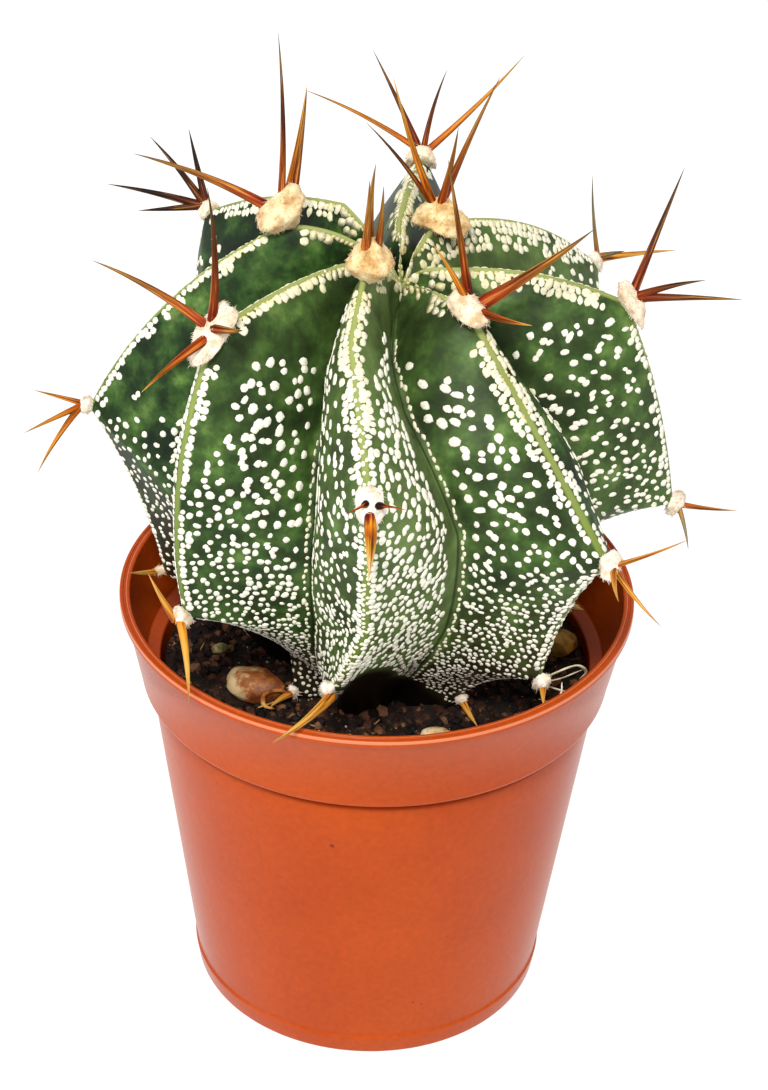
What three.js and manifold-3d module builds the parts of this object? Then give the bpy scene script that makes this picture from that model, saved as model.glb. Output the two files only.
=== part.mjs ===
// A young monk's hood cactus in its nursery pot. Millimetres, +Z up.
// The origin is the centre of the pot's flat underside. A bearing is an angle in plan, in degrees,
// counted from +X towards +Y; the front of the plant is at bearing -90.
import * as THREE from "three";
import { mergeVertices } from "three/addons/utils/BufferGeometryUtils.js";
import Module from "manifold-3d";

const wasm = await Module();
wasm.setup();

// Pot: a 55 mm thermoformed nursery pot with a deep collar.
const POT_HEIGHT = 50;
const RIM_RADIUS = 27.5;
const LIP_DROP = 1.3;
const COLLAR_TOP_RADIUS = 27.1;
const LEDGE_HEIGHT = 38.9;
const LEDGE_RADIUS = 25.3;
const BODY_TOP_RADIUS = 24.0;
const BASE_RADIUS = 19.3;
const WALL = 0.8;
const FLOOR = 1.2;
const FOOT_HEIGHT = 2.4;
const DRAIN_RADIUS = 2.5;
const DRAIN_CIRCLE = 12;
const DRAIN_COUNT = 4;

// Peat: fills the pot up to its inner ledge, with a dip for the stem.
const CLEARANCE = 0.3;
const PEAT_EDGE_HEIGHT = 39.6;
const PEAT_CROWN_HEIGHT = 40.2;
const PEAT_CROWN_RADIUS = 17;

// Stem: eight ribs round a sunken apex, over a short neck that stands in the peat.
const APEX = new THREE.Vector3(1.5, -0.5, 86.3);
const LEAN_FROM = 45;
const NECK_RADIUS = 6.5;
const NECK_HEIGHT = 34.5;
const ROOT_HEIGHT = 32;
const FLANK_BULGE = 1.2;
const WAIST = 0.42;
const HOLLOW = 0.66;
const HOLLOW_DEPTH = -0.4;
const ROWS = 21;
const CREST_SHARE = 0.12;
const COLUMNS_PER_RIB = 6;

// Spines and wool.
const SPINE_RADIUS = 0.45;
const SPINE_TIP_RADIUS = 0.06;
const SPINE_ROOT_HEIGHT = 1.0;
const SPINE_ROOT_RADIUS = 0.58;
const SPINE_SIDES = 5;
const WOOL_SEAT = 0.2;

// The furrow between two ribs, from the apex down: [radius, height].
const FURROW = [
  [0.3, 85.2], [1.2, 85.0], [5.0, 82.5], [11.0, 79.5], [16.5, 75.0], [19.3, 68.5],
  [19.5, 61.5], [17.5, 54.5], [13.5, 47.5], [9.5, 42.5], [8.0, 38.0],
];

// A point on a rib's ridge: its bearing, radius and height, and how far the run below it bows out.
function ridgePoint(bearing, radius, height, bow) {
  return { bearing, radius, height, bow };
}

// A ridge point that carries an areole: its wool is [length along the ridge, width, thickness],
// and each spine is [length, bearing, rise above the horizontal].
function areole(bearing, radius, height, bow, wool, spines) {
  return { bearing, radius, height, bow, wool, spines };
}

// The ribs in order of bearing. furrow is the share of the way to the next rib where the furrow
// between them lies, at the crown and at the waist, and lag is how far that furrow falls behind
// the ridges, as a share of its length. The last point of each ridge is in the peat.
const RIBS = [
  {
    name: "front",
    furrow: [0.2, 0.5],
    ridge: [
      areole(-104, 8.9, 91.8, 0.3, [4.2, 5.4, 2.8], [
        [10.4, -50, 84], [10.0, -85, 75], [9.1, -53, 75],
      ]),
      ridgePoint(-102, 15.5, 88.2, 0.4),
      areole(-92, 27.0, 77.0, 1.0, [3.4, 3.2, 1.6], [
        [8.0, -89, -26], [4.7, -36, 20], [3.8, -127, 18],
      ]),
      ridgePoint(-92.5, 24.6, 60.5, 0.6),
      areole(-102, 20.0, 49.7, -1.0, [2.6, 2.2, 1.4], [[11.5, -119, 9]]),
      ridgePoint(-105, 10.5, 38.0, 0),
    ],
  },
  {
    name: "front_right",
    furrow: [0.5, 0.5],
    lag: 0.085,
    ridge: [
      areole(-46, 11.9, 88.0, 0, [6.2, 4.4, 2.2], [
        [14.6, 126, 70], [8.0, -172, 59], [13.9, 11, 33], [7.4, -40, 5],
      ]),
      areole(-43, 31.0, 67.2, -1.2, [2.6, 2.2, 1.4], [
        [7.8, 4, 25], [7.5, -49, -27], [4.7, -89, -11],
      ]),
      areole(-43, 23.3, 49.3, -1.0, [2.4, 2.0, 1.4], [[2.7, -94, -12]]),
      areole(-48, 13.6, 42.5, 0, [2.2, 1.8, 1.2], [[3.3, -63, -13]]),
      ridgePoint(-50, 10.5, 38.0, 0),
    ],
  },
  {
    name: "right",
    furrow: [0.5, 0.5],
    ridge: [
      ridgePoint(-3, 6.0, 88.4, 1.2),
      areole(-2, 24.2, 85.5, 0.9, [5.6, 2.6, 1.6], [[13.8, 58, 50], [7.5, -11, 21], [10.8, -3, 1]]),
      areole(-2, 30.6, 61.9, 0, [2.4, 2.0, 1.3], [[6.0, -3, -1], [5.1, -80, -30]]),
      ridgePoint(-2, 23.0, 60.4, -0.6),
      areole(-3, 20.0, 48.5, -0.5, [2.2, 1.8, 1.3], [[4.6, -20, 6], [3.6, 30, -4]]),
      ridgePoint(-4, 10.5, 38.0, 0),
    ],
  },
  {
    name: "back_right",
    furrow: [0.5, 0.5],
    ridge: [
      areole(55, 8.6, 89.6, 2.2, [4.2, 5.6, 2.8], [
        [11.8, 160, 47], [14.9, 152, 68], [10.4, -30, 79], [15.1, 43, 58],
      ]),
      areole(42, 29.8, 78.6, 1.5, [3.0, 2.4, 1.5], [[8.8, 101, 51], [8.6, 14, -1], [4.8, -56, 31]]),
      areole(42, 27.0, 54.0, -1.5, [2.6, 2.2, 1.4], [[8.2, 30, 6], [6.6, 62, -18]]),
      ridgePoint(42, 10.5, 38.0, 0),
    ],
  },
  {
    name: "back",
    furrow: [0.5, 0.5],
    ridge: [
      ridgePoint(80, 6.0, 90.0, 1.0),
      areole(82, 24.0, 88.2, 2.0, [4.0, 3.6, 1.8], [
        [14.4, 162, 19], [11.9, 135, 48], [8.9, 59, 60], [15.0, 32, 34],
      ]),
      areole(85, 29.5, 62.0, 0.5, [2.6, 2.2, 1.4], [[8.0, 104, 14], [7.4, 66, -8], [5.2, 88, -32]]),
      areole(86, 22.0, 48.5, -0.5, [2.4, 2.0, 1.3], [[3.4, 96, 44]]),
      ridgePoint(86, 10.5, 38.0, 0),
    ],
  },
  {
    name: "back_left",
    furrow: [0.5, 0.5],
    ridge: [
      ridgePoint(133, 6.5, 92.6, 1.2),
      areole(133, 28.0, 83.0, 2.0, [3.2, 2.4, 1.6], [
        [9.6, 138, 31], [8.3, 111, 49], [10.6, 171, 6], [7.1, -167, -2],
      ]),
      areole(132, 28.0, 57.0, -1.5, [2.6, 2.2, 1.4], [[7.6, 148, 4], [7.2, 112, -14]]),
      ridgePoint(131, 10.5, 38.0, 0),
    ],
  },
  {
    name: "left",
    furrow: [0.5, 0.5],
    ridge: [
      areole(178, 10.3, 92.4, 2.4, [4.2, 5.2, 2.6], [
        [18.1, 100, 74], [13.1, 63, 70], [13.3, 45, 77], [16.0, 170, 18],
      ]),
      areole(178, 30.3, 70.2, -0.9, [2.4, 2.0, 1.3], [
        [5.1, 172, 11], [7.1, -142, -10], [9.0, -121, -31],
      ]),
      areole(176, 23.0, 49.6, -0.7, [2.4, 2.0, 1.4], [[5.0, -125, 28]]),
      ridgePoint(175, 10.5, 38.0, 0),
    ],
  },
  {
    name: "front_left",
    furrow: [0.6, 0.6],
    ridge: [
      ridgePoint(-137, 6.0, 90.6, 0.8),
      areole(-137, 22.4, 88.8, 2.6, [5.6, 3.6, 1.8], [
        [12.8, 168, 26], [13.6, 95, 74], [9.8, -130, -19], [6.3, -53, 23],
      ]),
      areole(-138, 26.0, 57.0, -1.1, [2.4, 2.0, 1.4], [[6.3, 126, 25], [9.5, -79, -26]]),
      ridgePoint(-136, 11.3, 45.6, -0.1),
      areole(-135, 12.0, 41.3, 0, [2.2, 1.8, 1.2], [[3.5, -120, 9]]),
      ridgePoint(-140, 10.5, 38.0, 0),
    ],
  },
];

// Stones on the peat: [x, y, length, width, height, turn].
const STONES = {
  pebble: [-12.6, -7.2, 6.4, 4.6, 3.6, -20],
  shard: [20.0, 2.4, 4.6, 3.6, 3.0, 35],
  cream_stone: [6.6, -14.6, 3.4, 2.0, 1.8, 5],
  green_grit: [-16.8, 0.4, 2.2, 1.5, 1.4, 15],
  pale_grit: [-11.6, -14.4, 1.9, 1.5, 1.3, 40],
  brown_grit: [13.4, -16.0, 2.4, 1.7, 1.5, -30],
};

const MATERIALS = {
  pot: { color: "#c8532c", roughness: 0.38, metalness: 0 },
  peat: { color: "#241a16", roughness: 0.95, metalness: 0 },
  stem: { color: "#2f5a2c", roughness: 0.6, metalness: 0 },
  wool: { color: "#efe2c0", roughness: 1, metalness: 0 },
  spine: { color: "#9c4a1c", roughness: 0.45, metalness: 0 },
  stone: { color: "#a5703c", roughness: 0.8, metalness: 0 },
};

const part = new THREE.Group();
const radians = THREE.MathUtils.degToRad;

function direction(bearing, rise = 0) {
  const flat = Math.cos(radians(rise));
  return new THREE.Vector3(
    flat * Math.cos(radians(bearing)),
    flat * Math.sin(radians(bearing)),
    Math.sin(radians(rise)),
  );
}

// A three.js geometry as a closed solid that can be joined and cut.
function solid(geometry) {
  const bare = geometry.clone();
  bare.deleteAttribute("normal");
  bare.deleteAttribute("uv");
  const merged = mergeVertices(bare, 1e-4);
  return new wasm.Manifold(
    new wasm.Mesh({
      numProp: 3,
      vertProperties: merged.attributes.position.array,
      triVerts: new Uint32Array(merged.index.array),
    }),
  );
}

function geometryOf(manifold) {
  const mesh = manifold.getMesh();
  return new THREE.BufferGeometry()
    .setAttribute("position", new THREE.BufferAttribute(mesh.vertProperties, 3))
    .setIndex(new THREE.BufferAttribute(mesh.triVerts, 1));
}

// Cutting can leave a sliver loose: only the largest body is the piece.
function largestBody(manifold) {
  return manifold.decompose().reduce((a, b) => (a.volume() > b.volume() ? a : b));
}

function addPiece(name, manifold, finish) {
  const geometry = geometryOf(manifold);
  geometry.computeVertexNormals();
  const mesh = new THREE.Mesh(geometry, new THREE.MeshStandardMaterial(MATERIALS[finish]));
  mesh.name = name;
  part.add(mesh);
}

function lathe(profile, segments) {
  const points = profile.map(([radius, height]) => new THREE.Vector2(radius, height));
  return new THREE.LatheGeometry(points, segments).rotateX(Math.PI / 2);
}

// Pot: one wall from the flat base up to the rolled rim and down the inside to the floor.
function potSolid() {
  const lipFoot = POT_HEIGHT - LIP_DROP;
  const wall = lathe([
    [0, 0], [BASE_RADIUS - 0.4, 0], [BASE_RADIUS, 0.4], [BASE_RADIUS + 0.3, FOOT_HEIGHT],
    [BODY_TOP_RADIUS, LEDGE_HEIGHT], [LEDGE_RADIUS, LEDGE_HEIGHT], [COLLAR_TOP_RADIUS, lipFoot],
    [RIM_RADIUS, lipFoot + 0.2], [RIM_RADIUS, POT_HEIGHT - 0.4], [RIM_RADIUS - 0.4, POT_HEIGHT],
    [RIM_RADIUS - 1.0, POT_HEIGHT], [RIM_RADIUS - 1.3, POT_HEIGHT - 0.4],
    [LEDGE_RADIUS - WALL + 0.3, LEDGE_HEIGHT + 2.1], [BODY_TOP_RADIUS - WALL, LEDGE_HEIGHT + 1.2],
    [BASE_RADIUS - WALL, FLOOR + 0.4], [BASE_RADIUS - WALL - 0.4, FLOOR], [0, FLOOR],
  ], 64);
  let pot = solid(wall);
  for (let i = 0; i < DRAIN_COUNT; i += 1) {
    const at = direction(45 + (360 / DRAIN_COUNT) * i).multiplyScalar(DRAIN_CIRCLE);
    const drain = new THREE.CylinderGeometry(DRAIN_RADIUS, DRAIN_RADIUS, 4 * FLOOR, 16);
    drain.rotateX(Math.PI / 2).translate(at.x, at.y, 0);
    pot = pot.subtract(solid(drain));
  }
  return pot;
}

// Peat: a plug that follows the pot's inner wall.
function peatSolid() {
  const reach = CLEARANCE + 0.05;
  const wallSlope = (BODY_TOP_RADIUS - BASE_RADIUS) / LEDGE_HEIGHT;
  const foot = BASE_RADIUS - WALL - reach;
  return solid(lathe([
    [0, FLOOR + CLEARANCE], [foot - 0.3, FLOOR + CLEARANCE], [foot, FLOOR + 0.9],
    [foot + wallSlope * (PEAT_EDGE_HEIGHT - 2), PEAT_EDGE_HEIGHT],
    [PEAT_CROWN_RADIUS, PEAT_CROWN_HEIGHT], [0, PEAT_CROWN_HEIGHT],
  ], 48));
}

function placeOf(point) {
  return direction(point.bearing).multiplyScalar(point.radius).setZ(point.height);
}

// Square to a run of ridge, in the rib's own upright plane, pointing out of the plant.
function outwards(run, bearing) {
  const radial = direction(bearing);
  return radial.clone().multiplyScalar(-run.z).setZ(run.dot(radial)).normalize();
}

// The ridge line: from the apex through the ridge points, each run bowed by its own amount.
function ridgeCurve(rib) {
  const curve = new THREE.CurvePath();
  let from = APEX;
  let bow = 0.8;
  for (const point of rib.ridge) {
    const to = placeOf(point);
    const out = outwards(to.clone().sub(from), point.bearing);
    const middle = from.clone().lerp(to, 0.5).addScaledVector(out, 2 * bow);
    curve.add(new THREE.QuadraticBezierCurve3(from, middle, to));
    from = to;
    bow = point.bow;
  }
  return curve;
}

const ridgeCurves = RIBS.map(ridgeCurve);
const furrowCurve = new THREE.CatmullRomCurve3(
  FURROW.map(([radius, height]) => new THREE.Vector3(radius, 0, height)),
);

// The stem leans a little, so its axis drifts towards the apex above the pot.
function stemCentre(height) {
  const share = THREE.MathUtils.clamp((height - LEAN_FROM) / (APEX.z - LEAN_FROM), 0, 1);
  return new THREE.Vector3(APEX.x * share, APEX.y * share, 0);
}

function furrowPoint(index, along) {
  const next = (index + 1) % RIBS.length;
  const lag = (RIBS[index].lag ?? 0) * Math.sin(Math.PI * along) ** 2;
  const profile = furrowCurve.getPointAt(along - lag);
  const centre = stemCentre(profile.z);
  const bearings = [index, next].map((i) => {
    const ridge = ridgeCurves[i].getPoint(along).sub(centre);
    return Math.atan2(ridge.y, ridge.x);
  });
  const turn = THREE.MathUtils.euclideanModulo(bearings[1] - bearings[0], 2 * Math.PI);
  const [crown, waist] = RIBS[index].furrow;
  const share = THREE.MathUtils.lerp(crown, waist, Math.min(along / 0.45, 1));
  const bearing = bearings[0] + turn * share;
  return new THREE.Vector3(
    centre.x + profile.x * Math.cos(bearing),
    centre.y + profile.x * Math.sin(bearing),
    profile.z,
  );
}

// How much of FLANK_BULGE a level line wears: all of it down to the waist, and a hollow below.
function plumpness(along) {
  const { mapLinear } = THREE.MathUtils;
  if (along < WAIST) return 1;
  if (along < HOLLOW) return mapLinear(along, WAIST, HOLLOW, 1, HOLLOW_DEPTH);
  return mapLinear(along, HOLLOW, 1, HOLLOW_DEPTH, 0);
}

// A point of a flank, share of the way across from a ridge to a furrow, swollen a little outwards.
function flankPoint(ridge, furrow, otherRidge, share, along) {
  const across = furrow.clone().sub(ridge).setZ(0).normalize();
  const out = new THREE.Vector3(-across.y, across.x, 0);
  if (out.dot(otherRidge.clone().sub(ridge)) < 0) out.negate();
  const ends = Math.min(along / 0.15, 1) * Math.min((1 - along) / 0.12, 1) * plumpness(along);
  return ridge.clone().lerp(furrow, share)
    .addScaledVector(out, FLANK_BULGE * Math.sin(Math.PI * share) * ends);
}

// One level line round the stem: COLUMNS_PER_RIB points for each rib, ridge to furrow to next ridge.
function levelLine(along) {
  const line = [];
  const shares = [0, CREST_SHARE, 0.5, 1, 0.5, CREST_SHARE];
  RIBS.forEach((rib, index) => {
    const ridge = ridgeCurves[index].getPoint(along);
    const nextRidge = ridgeCurves[(index + 1) % RIBS.length].getPoint(along);
    const furrow = furrowPoint(index, along);
    shares.forEach((share, column) => {
      const facing = column <= COLUMNS_PER_RIB / 2 ? [ridge, nextRidge] : [nextRidge, ridge];
      line.push(flankPoint(facing[0], furrow, facing[1], share, along));
    });
  });
  return line;
}

// Stem: a ball of level lines from the apex down to the neck. grow moves its skin out.
function stemSolid(grow = 0) {
  const columns = COLUMNS_PER_RIB * RIBS.length;
  const rows = ROWS + 2;
  const geometry = new THREE.SphereGeometry(1, columns, rows);
  const spots = geometry.attributes.position;
  for (let row = 0; row <= rows; row += 1) {
    const line = row > 0 && row <= ROWS ? levelLine(row / ROWS) : [];
    for (let column = 0; column <= columns; column += 1) {
      let spot = line[column % columns];
      const bearing = RIBS[0].ridge[0].bearing + (360 * column) / columns;
      if (row === 0) spot = APEX.clone();
      if (row === rows - 1) spot = direction(bearing).multiplyScalar(NECK_RADIUS).setZ(NECK_HEIGHT);
      if (row === rows) spot = new THREE.Vector3(0, 0, ROOT_HEIGHT - grow);
      const radial = new THREE.Vector3(spot.x, spot.y, 0).normalize();
      spot = spot.clone().addScaledVector(radial, grow);
      spots.setXYZ(row * (columns + 1) + column, spot.x, spot.y, spot.z);
    }
  }
  return solid(geometry);
}

// Everything that one areole needs: its place on the ridge and the way it faces.
function areoleFrame(rib, index) {
  const point = rib.ridge[index];
  const above = index ? placeOf(rib.ridge[index - 1]) : APEX;
  const place = placeOf(point);
  const below = placeOf(rib.ridge[index + 1]);
  const run = place.clone().sub(above).normalize().add(below.sub(place).normalize()).normalize();
  const out = outwards(run, point.bearing);
  const side = new THREE.Vector3().crossVectors(out, run).normalize();
  return { place, out, side, along: new THREE.Vector3().crossVectors(side, out) };
}

// Wool: a low cushion laid along the ridge.
function woolSolid(frame, [length, width, thickness], grow = 0) {
  const pad = new THREE.SphereGeometry(1, 8, 5);
  pad.rotateX(Math.PI / 2);
  pad.scale(length / 2 + grow, width / 2 + grow, thickness / 2 + grow);
  pad.applyMatrix4(new THREE.Matrix4().makeBasis(frame.along, frame.side, frame.out));
  const seat = frame.place.clone().addScaledVector(frame.out, WOOL_SEAT);
  return solid(pad.translate(seat.x, seat.y, seat.z));
}

// Spines: cones that spread from one root in the wool.
function spinesSolid(frame, spines, grow = 0) {
  const root = frame.place.clone().addScaledVector(frame.out, SPINE_ROOT_HEIGHT);
  const ball = new THREE.SphereGeometry(SPINE_ROOT_RADIUS + grow, 6, 4);
  let cluster = solid(ball.translate(root.x, root.y, root.z));
  for (const [length, bearing, rise] of spines) {
    const thickness = SPINE_RADIUS * Math.min(1, 0.7 + length / 40);
    const reach = length + grow;
    const spine = new THREE.CylinderGeometry(
      SPINE_TIP_RADIUS + grow, thickness + grow, reach, SPINE_SIDES, 2,
    );
    spine.translate(0, reach / 2, 0);
    const way = direction(bearing, rise);
    spine.applyQuaternion(new THREE.Quaternion().setFromUnitVectors(new THREE.Vector3(0, 1, 0), way));
    cluster = cluster.add(solid(spine.translate(root.x, root.y, root.z)));
  }
  return cluster;
}

// Stone: a faceted lump, flattened and turned, bedded in the peat.
function stoneSolid([x, y, length, width, height, turn], grow = 0) {
  const lump = new THREE.IcosahedronGeometry(1, 1);
  const spots = lump.attributes.position;
  for (let i = 0; i < spots.count; i += 1) {
    const spot = new THREE.Vector3().fromBufferAttribute(spots, i);
    const swell = 1 + 0.12 * Math.sin(3 * spot.x + x) * Math.cos(2.5 * spot.y + y);
    spot.multiplyScalar(swell);
    spots.setXYZ(i, spot.x, spot.y, spot.z);
  }
  lump.scale(length / 2 + grow, width / 2 + grow, height / 2 + grow);
  lump.rotateZ(radians(turn));
  return solid(lump.translate(x, y, PEAT_CROWN_HEIGHT + 0.22 * height));
}

let stem = stemSolid();
let peat = peatSolid().subtract(stemSolid(CLEARANCE + 0.05));

RIBS.forEach((rib) => {
  let count = 0;
  rib.ridge.forEach((point, index) => {
    if (!point.wool) return;
    count += 1;
    const frame = areoleFrame(rib, index);
    const spines = spinesSolid(frame, point.spines);
    const spineRoom = spinesSolid(frame, point.spines, CLEARANCE);
    const woolRoom = woolSolid(frame, point.wool, CLEARANCE);
    stem = stem.subtract(woolRoom).subtract(spineRoom);
    peat = peat.subtract(woolRoom).subtract(spineRoom);
    const wool = largestBody(woolSolid(frame, point.wool).subtract(spineRoom));
    addPiece(`spines_${rib.name}_${count}`, spines, "spine");
    addPiece(`wool_${rib.name}_${count}`, wool, "wool");
  });
});

for (const [name, stone] of Object.entries(STONES)) {
  peat = peat.subtract(stoneSolid(stone, CLEARANCE));
  addPiece(name, stoneSolid(stone), "stone");
}

addPiece("pot", potSolid(), "pot");
addPiece("peat", largestBody(peat), "peat");
addPiece("stem", largestBody(stem), "stem");

export default part;
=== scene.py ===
# %% [markdown]
# # A young monk's hood cactus in its nursery pot
# This lesson builds the looks of a small ribbed cactus around a solid model that is already packed.
# The solid model fixes the sizes: every place below is in its frame, with +Z up and the origin at
# the centre of the pot's underside. Places are written in millimetres and turned to metres.

import math
import random
from contextlib import contextmanager
from functools import cached_property
from types import SimpleNamespace

import bpy
import numpy as np
from mathutils import Matrix, Quaternion, Vector, noise


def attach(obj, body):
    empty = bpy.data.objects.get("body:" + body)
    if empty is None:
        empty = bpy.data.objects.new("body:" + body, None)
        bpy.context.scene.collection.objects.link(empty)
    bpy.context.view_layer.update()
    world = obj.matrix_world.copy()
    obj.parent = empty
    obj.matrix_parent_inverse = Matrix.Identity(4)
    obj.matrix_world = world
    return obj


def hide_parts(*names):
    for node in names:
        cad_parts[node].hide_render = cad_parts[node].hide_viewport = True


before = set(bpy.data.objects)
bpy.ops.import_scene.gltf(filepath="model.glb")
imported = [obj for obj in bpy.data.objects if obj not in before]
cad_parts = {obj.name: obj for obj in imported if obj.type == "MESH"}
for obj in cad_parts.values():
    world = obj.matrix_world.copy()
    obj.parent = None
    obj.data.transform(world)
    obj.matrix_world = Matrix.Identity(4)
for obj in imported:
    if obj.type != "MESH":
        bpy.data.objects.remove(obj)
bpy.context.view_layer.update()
MM = 0.001
print("solid model:", len(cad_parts), "nodes")

# %% [markdown]
# ## The view
# A plant this small is best seen from a little above, at arm's length, through a long lens, which
# keeps the pot's sides nearly parallel. The camera leans very slightly to one side, as one held in
# the hand does, and that keeps the view from looking stiff.

# %% Camera
CAMERA_PLACE = Vector((0, -282.1, 242.35)) * MM
CAMERA_DIP = math.radians(33.64)
CAMERA_TURN = math.radians(0.12)
CAMERA_LEAN = math.radians(1.85)
CAMERA_LENS = 105.55

bpy.ops.object.camera_add(location=CAMERA_PLACE)
camera = bpy.context.object
forward = Vector((
    math.sin(CAMERA_TURN) * math.cos(CAMERA_DIP),
    math.cos(CAMERA_TURN) * math.cos(CAMERA_DIP),
    -math.sin(CAMERA_DIP),
))
aim = forward.to_track_quat("-Z", "Y")
camera.rotation_euler = (aim @ Quaternion((0, 0, 1), CAMERA_LEAN)).to_euler()
camera.data.lens = CAMERA_LENS
camera.data.sensor_width = 36
bpy.context.scene.camera = camera
print("camera aims", [round(v, 3) for v in forward])

# %% [markdown]
# ## Small tools
# A few helpers carry the whole lesson. One turns a colour's hex code into the linear numbers that
# shaders use. Look is a material in the making: it adds shader nodes and joins them up. Then come
# those for meshes, because an operator works on all that is selected, and only in the right mode.
# A finished piece is handed over: it rides on the model's body and stands in for the plain solids
# that it replaces. The last one turns a bearing into a direction.

# %% Helpers
def linear(code):
    """An sRGB hex code as linear red, green, blue and alpha."""
    parts = [int(code[i:i + 2], 16) / 255 for i in (1, 3, 5)]
    bent = [c / 12.92 if c <= 0.04045 else ((c + 0.055) / 1.055) ** 2.4 for c in parts]
    return (*bent, 1.0)


class Look:
    """A material in the making. Its methods add nodes and give back the socket to use next."""

    def __init__(self, name, **constants):
        self.material = bpy.data.materials.new(name)
        self.material.use_nodes = True
        self.tree = self.material.node_tree
        self.shader = self.tree.nodes["Principled BSDF"]
        for key, value in constants.items():
            self.shader.inputs[key.replace("_", " ")].default_value = value

    def node(self, kind, inputs=None, out=0, stops=(), **settings):
        """Adds a shader node. A socket given as an input is linked, and stops fill a ramp."""
        made = self.tree.nodes.new("ShaderNode" + kind)
        for key, value in settings.items():
            setattr(made, key, value)
        for key, value in (inputs or {}).items():
            if isinstance(value, bpy.types.NodeSocket):
                self.tree.links.new(value, made.inputs[key])
            else:
                made.inputs[key].default_value = value
        for place, (position, colour) in enumerate(stops):
            elements = made.color_ramp.elements
            element = elements[place] if place < 2 else elements.new(position)
            element.position = position
            element.color = linear(colour) if isinstance(colour, str) else (*[colour] * 3, 1)
        return made.outputs[out]

    @cached_property
    def spot(self):
        """The place on the piece, in metres."""
        return self.node("TexCoord", out="Object")

    def kept(self, key, out="Fac"):
        """A number that the mesh keeps on its points."""
        return self.node("Attribute", out=out, attribute_name=key)

    def noise(self, scale, detail, roughness=0.5, at=None):
        return self.node("TexNoise", {"Vector": self.spot if at is None else at, "Scale": scale,
                                      "Detail": detail, "Roughness": roughness})

    def ramp(self, value, *stops):
        return self.node("ValToRGB", {"Fac": value}, stops=stops)

    def remap(self, value, low, high, new_low=0.0, new_high=1.0):
        """Low becomes new_low and high becomes new_high, with nothing beyond."""
        return self.node("MapRange", {"Value": value, "From Min": low, "From Max": high,
                                      "To Min": new_low, "To Max": new_high})

    def maths(self, operation, *values):
        return self.node("Math", dict(enumerate(values)), operation=operation)

    def mix(self, share, under, over, blend="MIX"):
        """The second colour over the first one, by this share."""
        over = linear(over) if isinstance(over, str) else over
        return self.node("Mix", {0: share, 6: under, 7: over}, 2,
                         data_type="RGBA", blend_type=blend)

    def finish(self, colour, height=None, strength=0.0, depth=0.0):
        """Links the colour, and a bump of this depth in metres, and gives back the material."""
        self.tree.links.new(colour, self.shader.inputs["Base Color"])
        if height is not None:
            bump = self.node("Bump", {"Strength": strength, "Distance": depth, "Height": height})
            self.tree.links.new(bump, self.shader.inputs["Normal"])
        return self.material


def begin(add, name, **settings):
    """Deselects everything, adds a primitive and names it."""
    bpy.ops.object.select_all(action="DESELECT")
    add(**settings)
    bpy.context.object.name = name
    return bpy.context.object


@contextmanager
def edit_mode(select=None):
    """Edit mode for the lines inside, with all or nothing selected where it says so."""
    bpy.ops.object.mode_set(mode="EDIT")
    if select:
        bpy.ops.mesh.select_all(action=select)
    yield
    bpy.ops.object.mode_set(mode="OBJECT")


def cut_across(*heights):
    """Cuts the active object level at these heights."""
    with edit_mode():
        for height in heights:
            bpy.ops.mesh.select_all(action="SELECT")
            bpy.ops.mesh.bisect(plane_co=(0, 0, height), plane_no=(0, 0, 1))


def only(*things):
    """Selects these objects and nothing else, and makes the first one active."""
    bpy.ops.object.select_all(action="DESELECT")
    for thing in things:
        thing.select_set(True)
    bpy.context.view_layer.objects.active = things[0]
    return things[0]


def joined(name, things):
    """These objects as one smooth object."""
    made = only(*things)
    if len(things) > 1:
        bpy.ops.object.join()
    made.name = name
    bpy.ops.object.shade_smooth()
    return made


def hand_over(piece, slot, *nodes):
    """Rides a finished piece on the model and lets it stand for those solids."""
    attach(piece, "root")
    if nodes:
        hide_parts(*nodes)
    return piece


def direction(bearing, rise=0.0):
    """A unit vector: bearing in plan, in degrees from +X towards +Y, and rise above the horizon."""
    turn, lift = math.radians(bearing), math.radians(rise)
    flat = math.cos(lift)
    return Vector((math.cos(turn) * flat, math.sin(turn) * flat, math.sin(lift)))


print("helpers ready")

# %% [markdown]
# ## The ribs
# A monk's hood cactus is a star of eight ribs. Each rib has a sharp ridge, and on the ridge sit the
# areoles: felt pads with spines, the oldest lowest down. Young ribs start at the sunken crown. The
# table gives each ridge as a few points, from the crown down into the soil. A point is a bearing in
# degrees, a radius and a height in mm, and how far the ridge below it bows out. An areole adds its
# felt pad's length, width and thickness, and its spines: length, bearing and rise of each.
# These are the solid model's own numbers, so the fine surface lies where the solid is.

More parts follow.
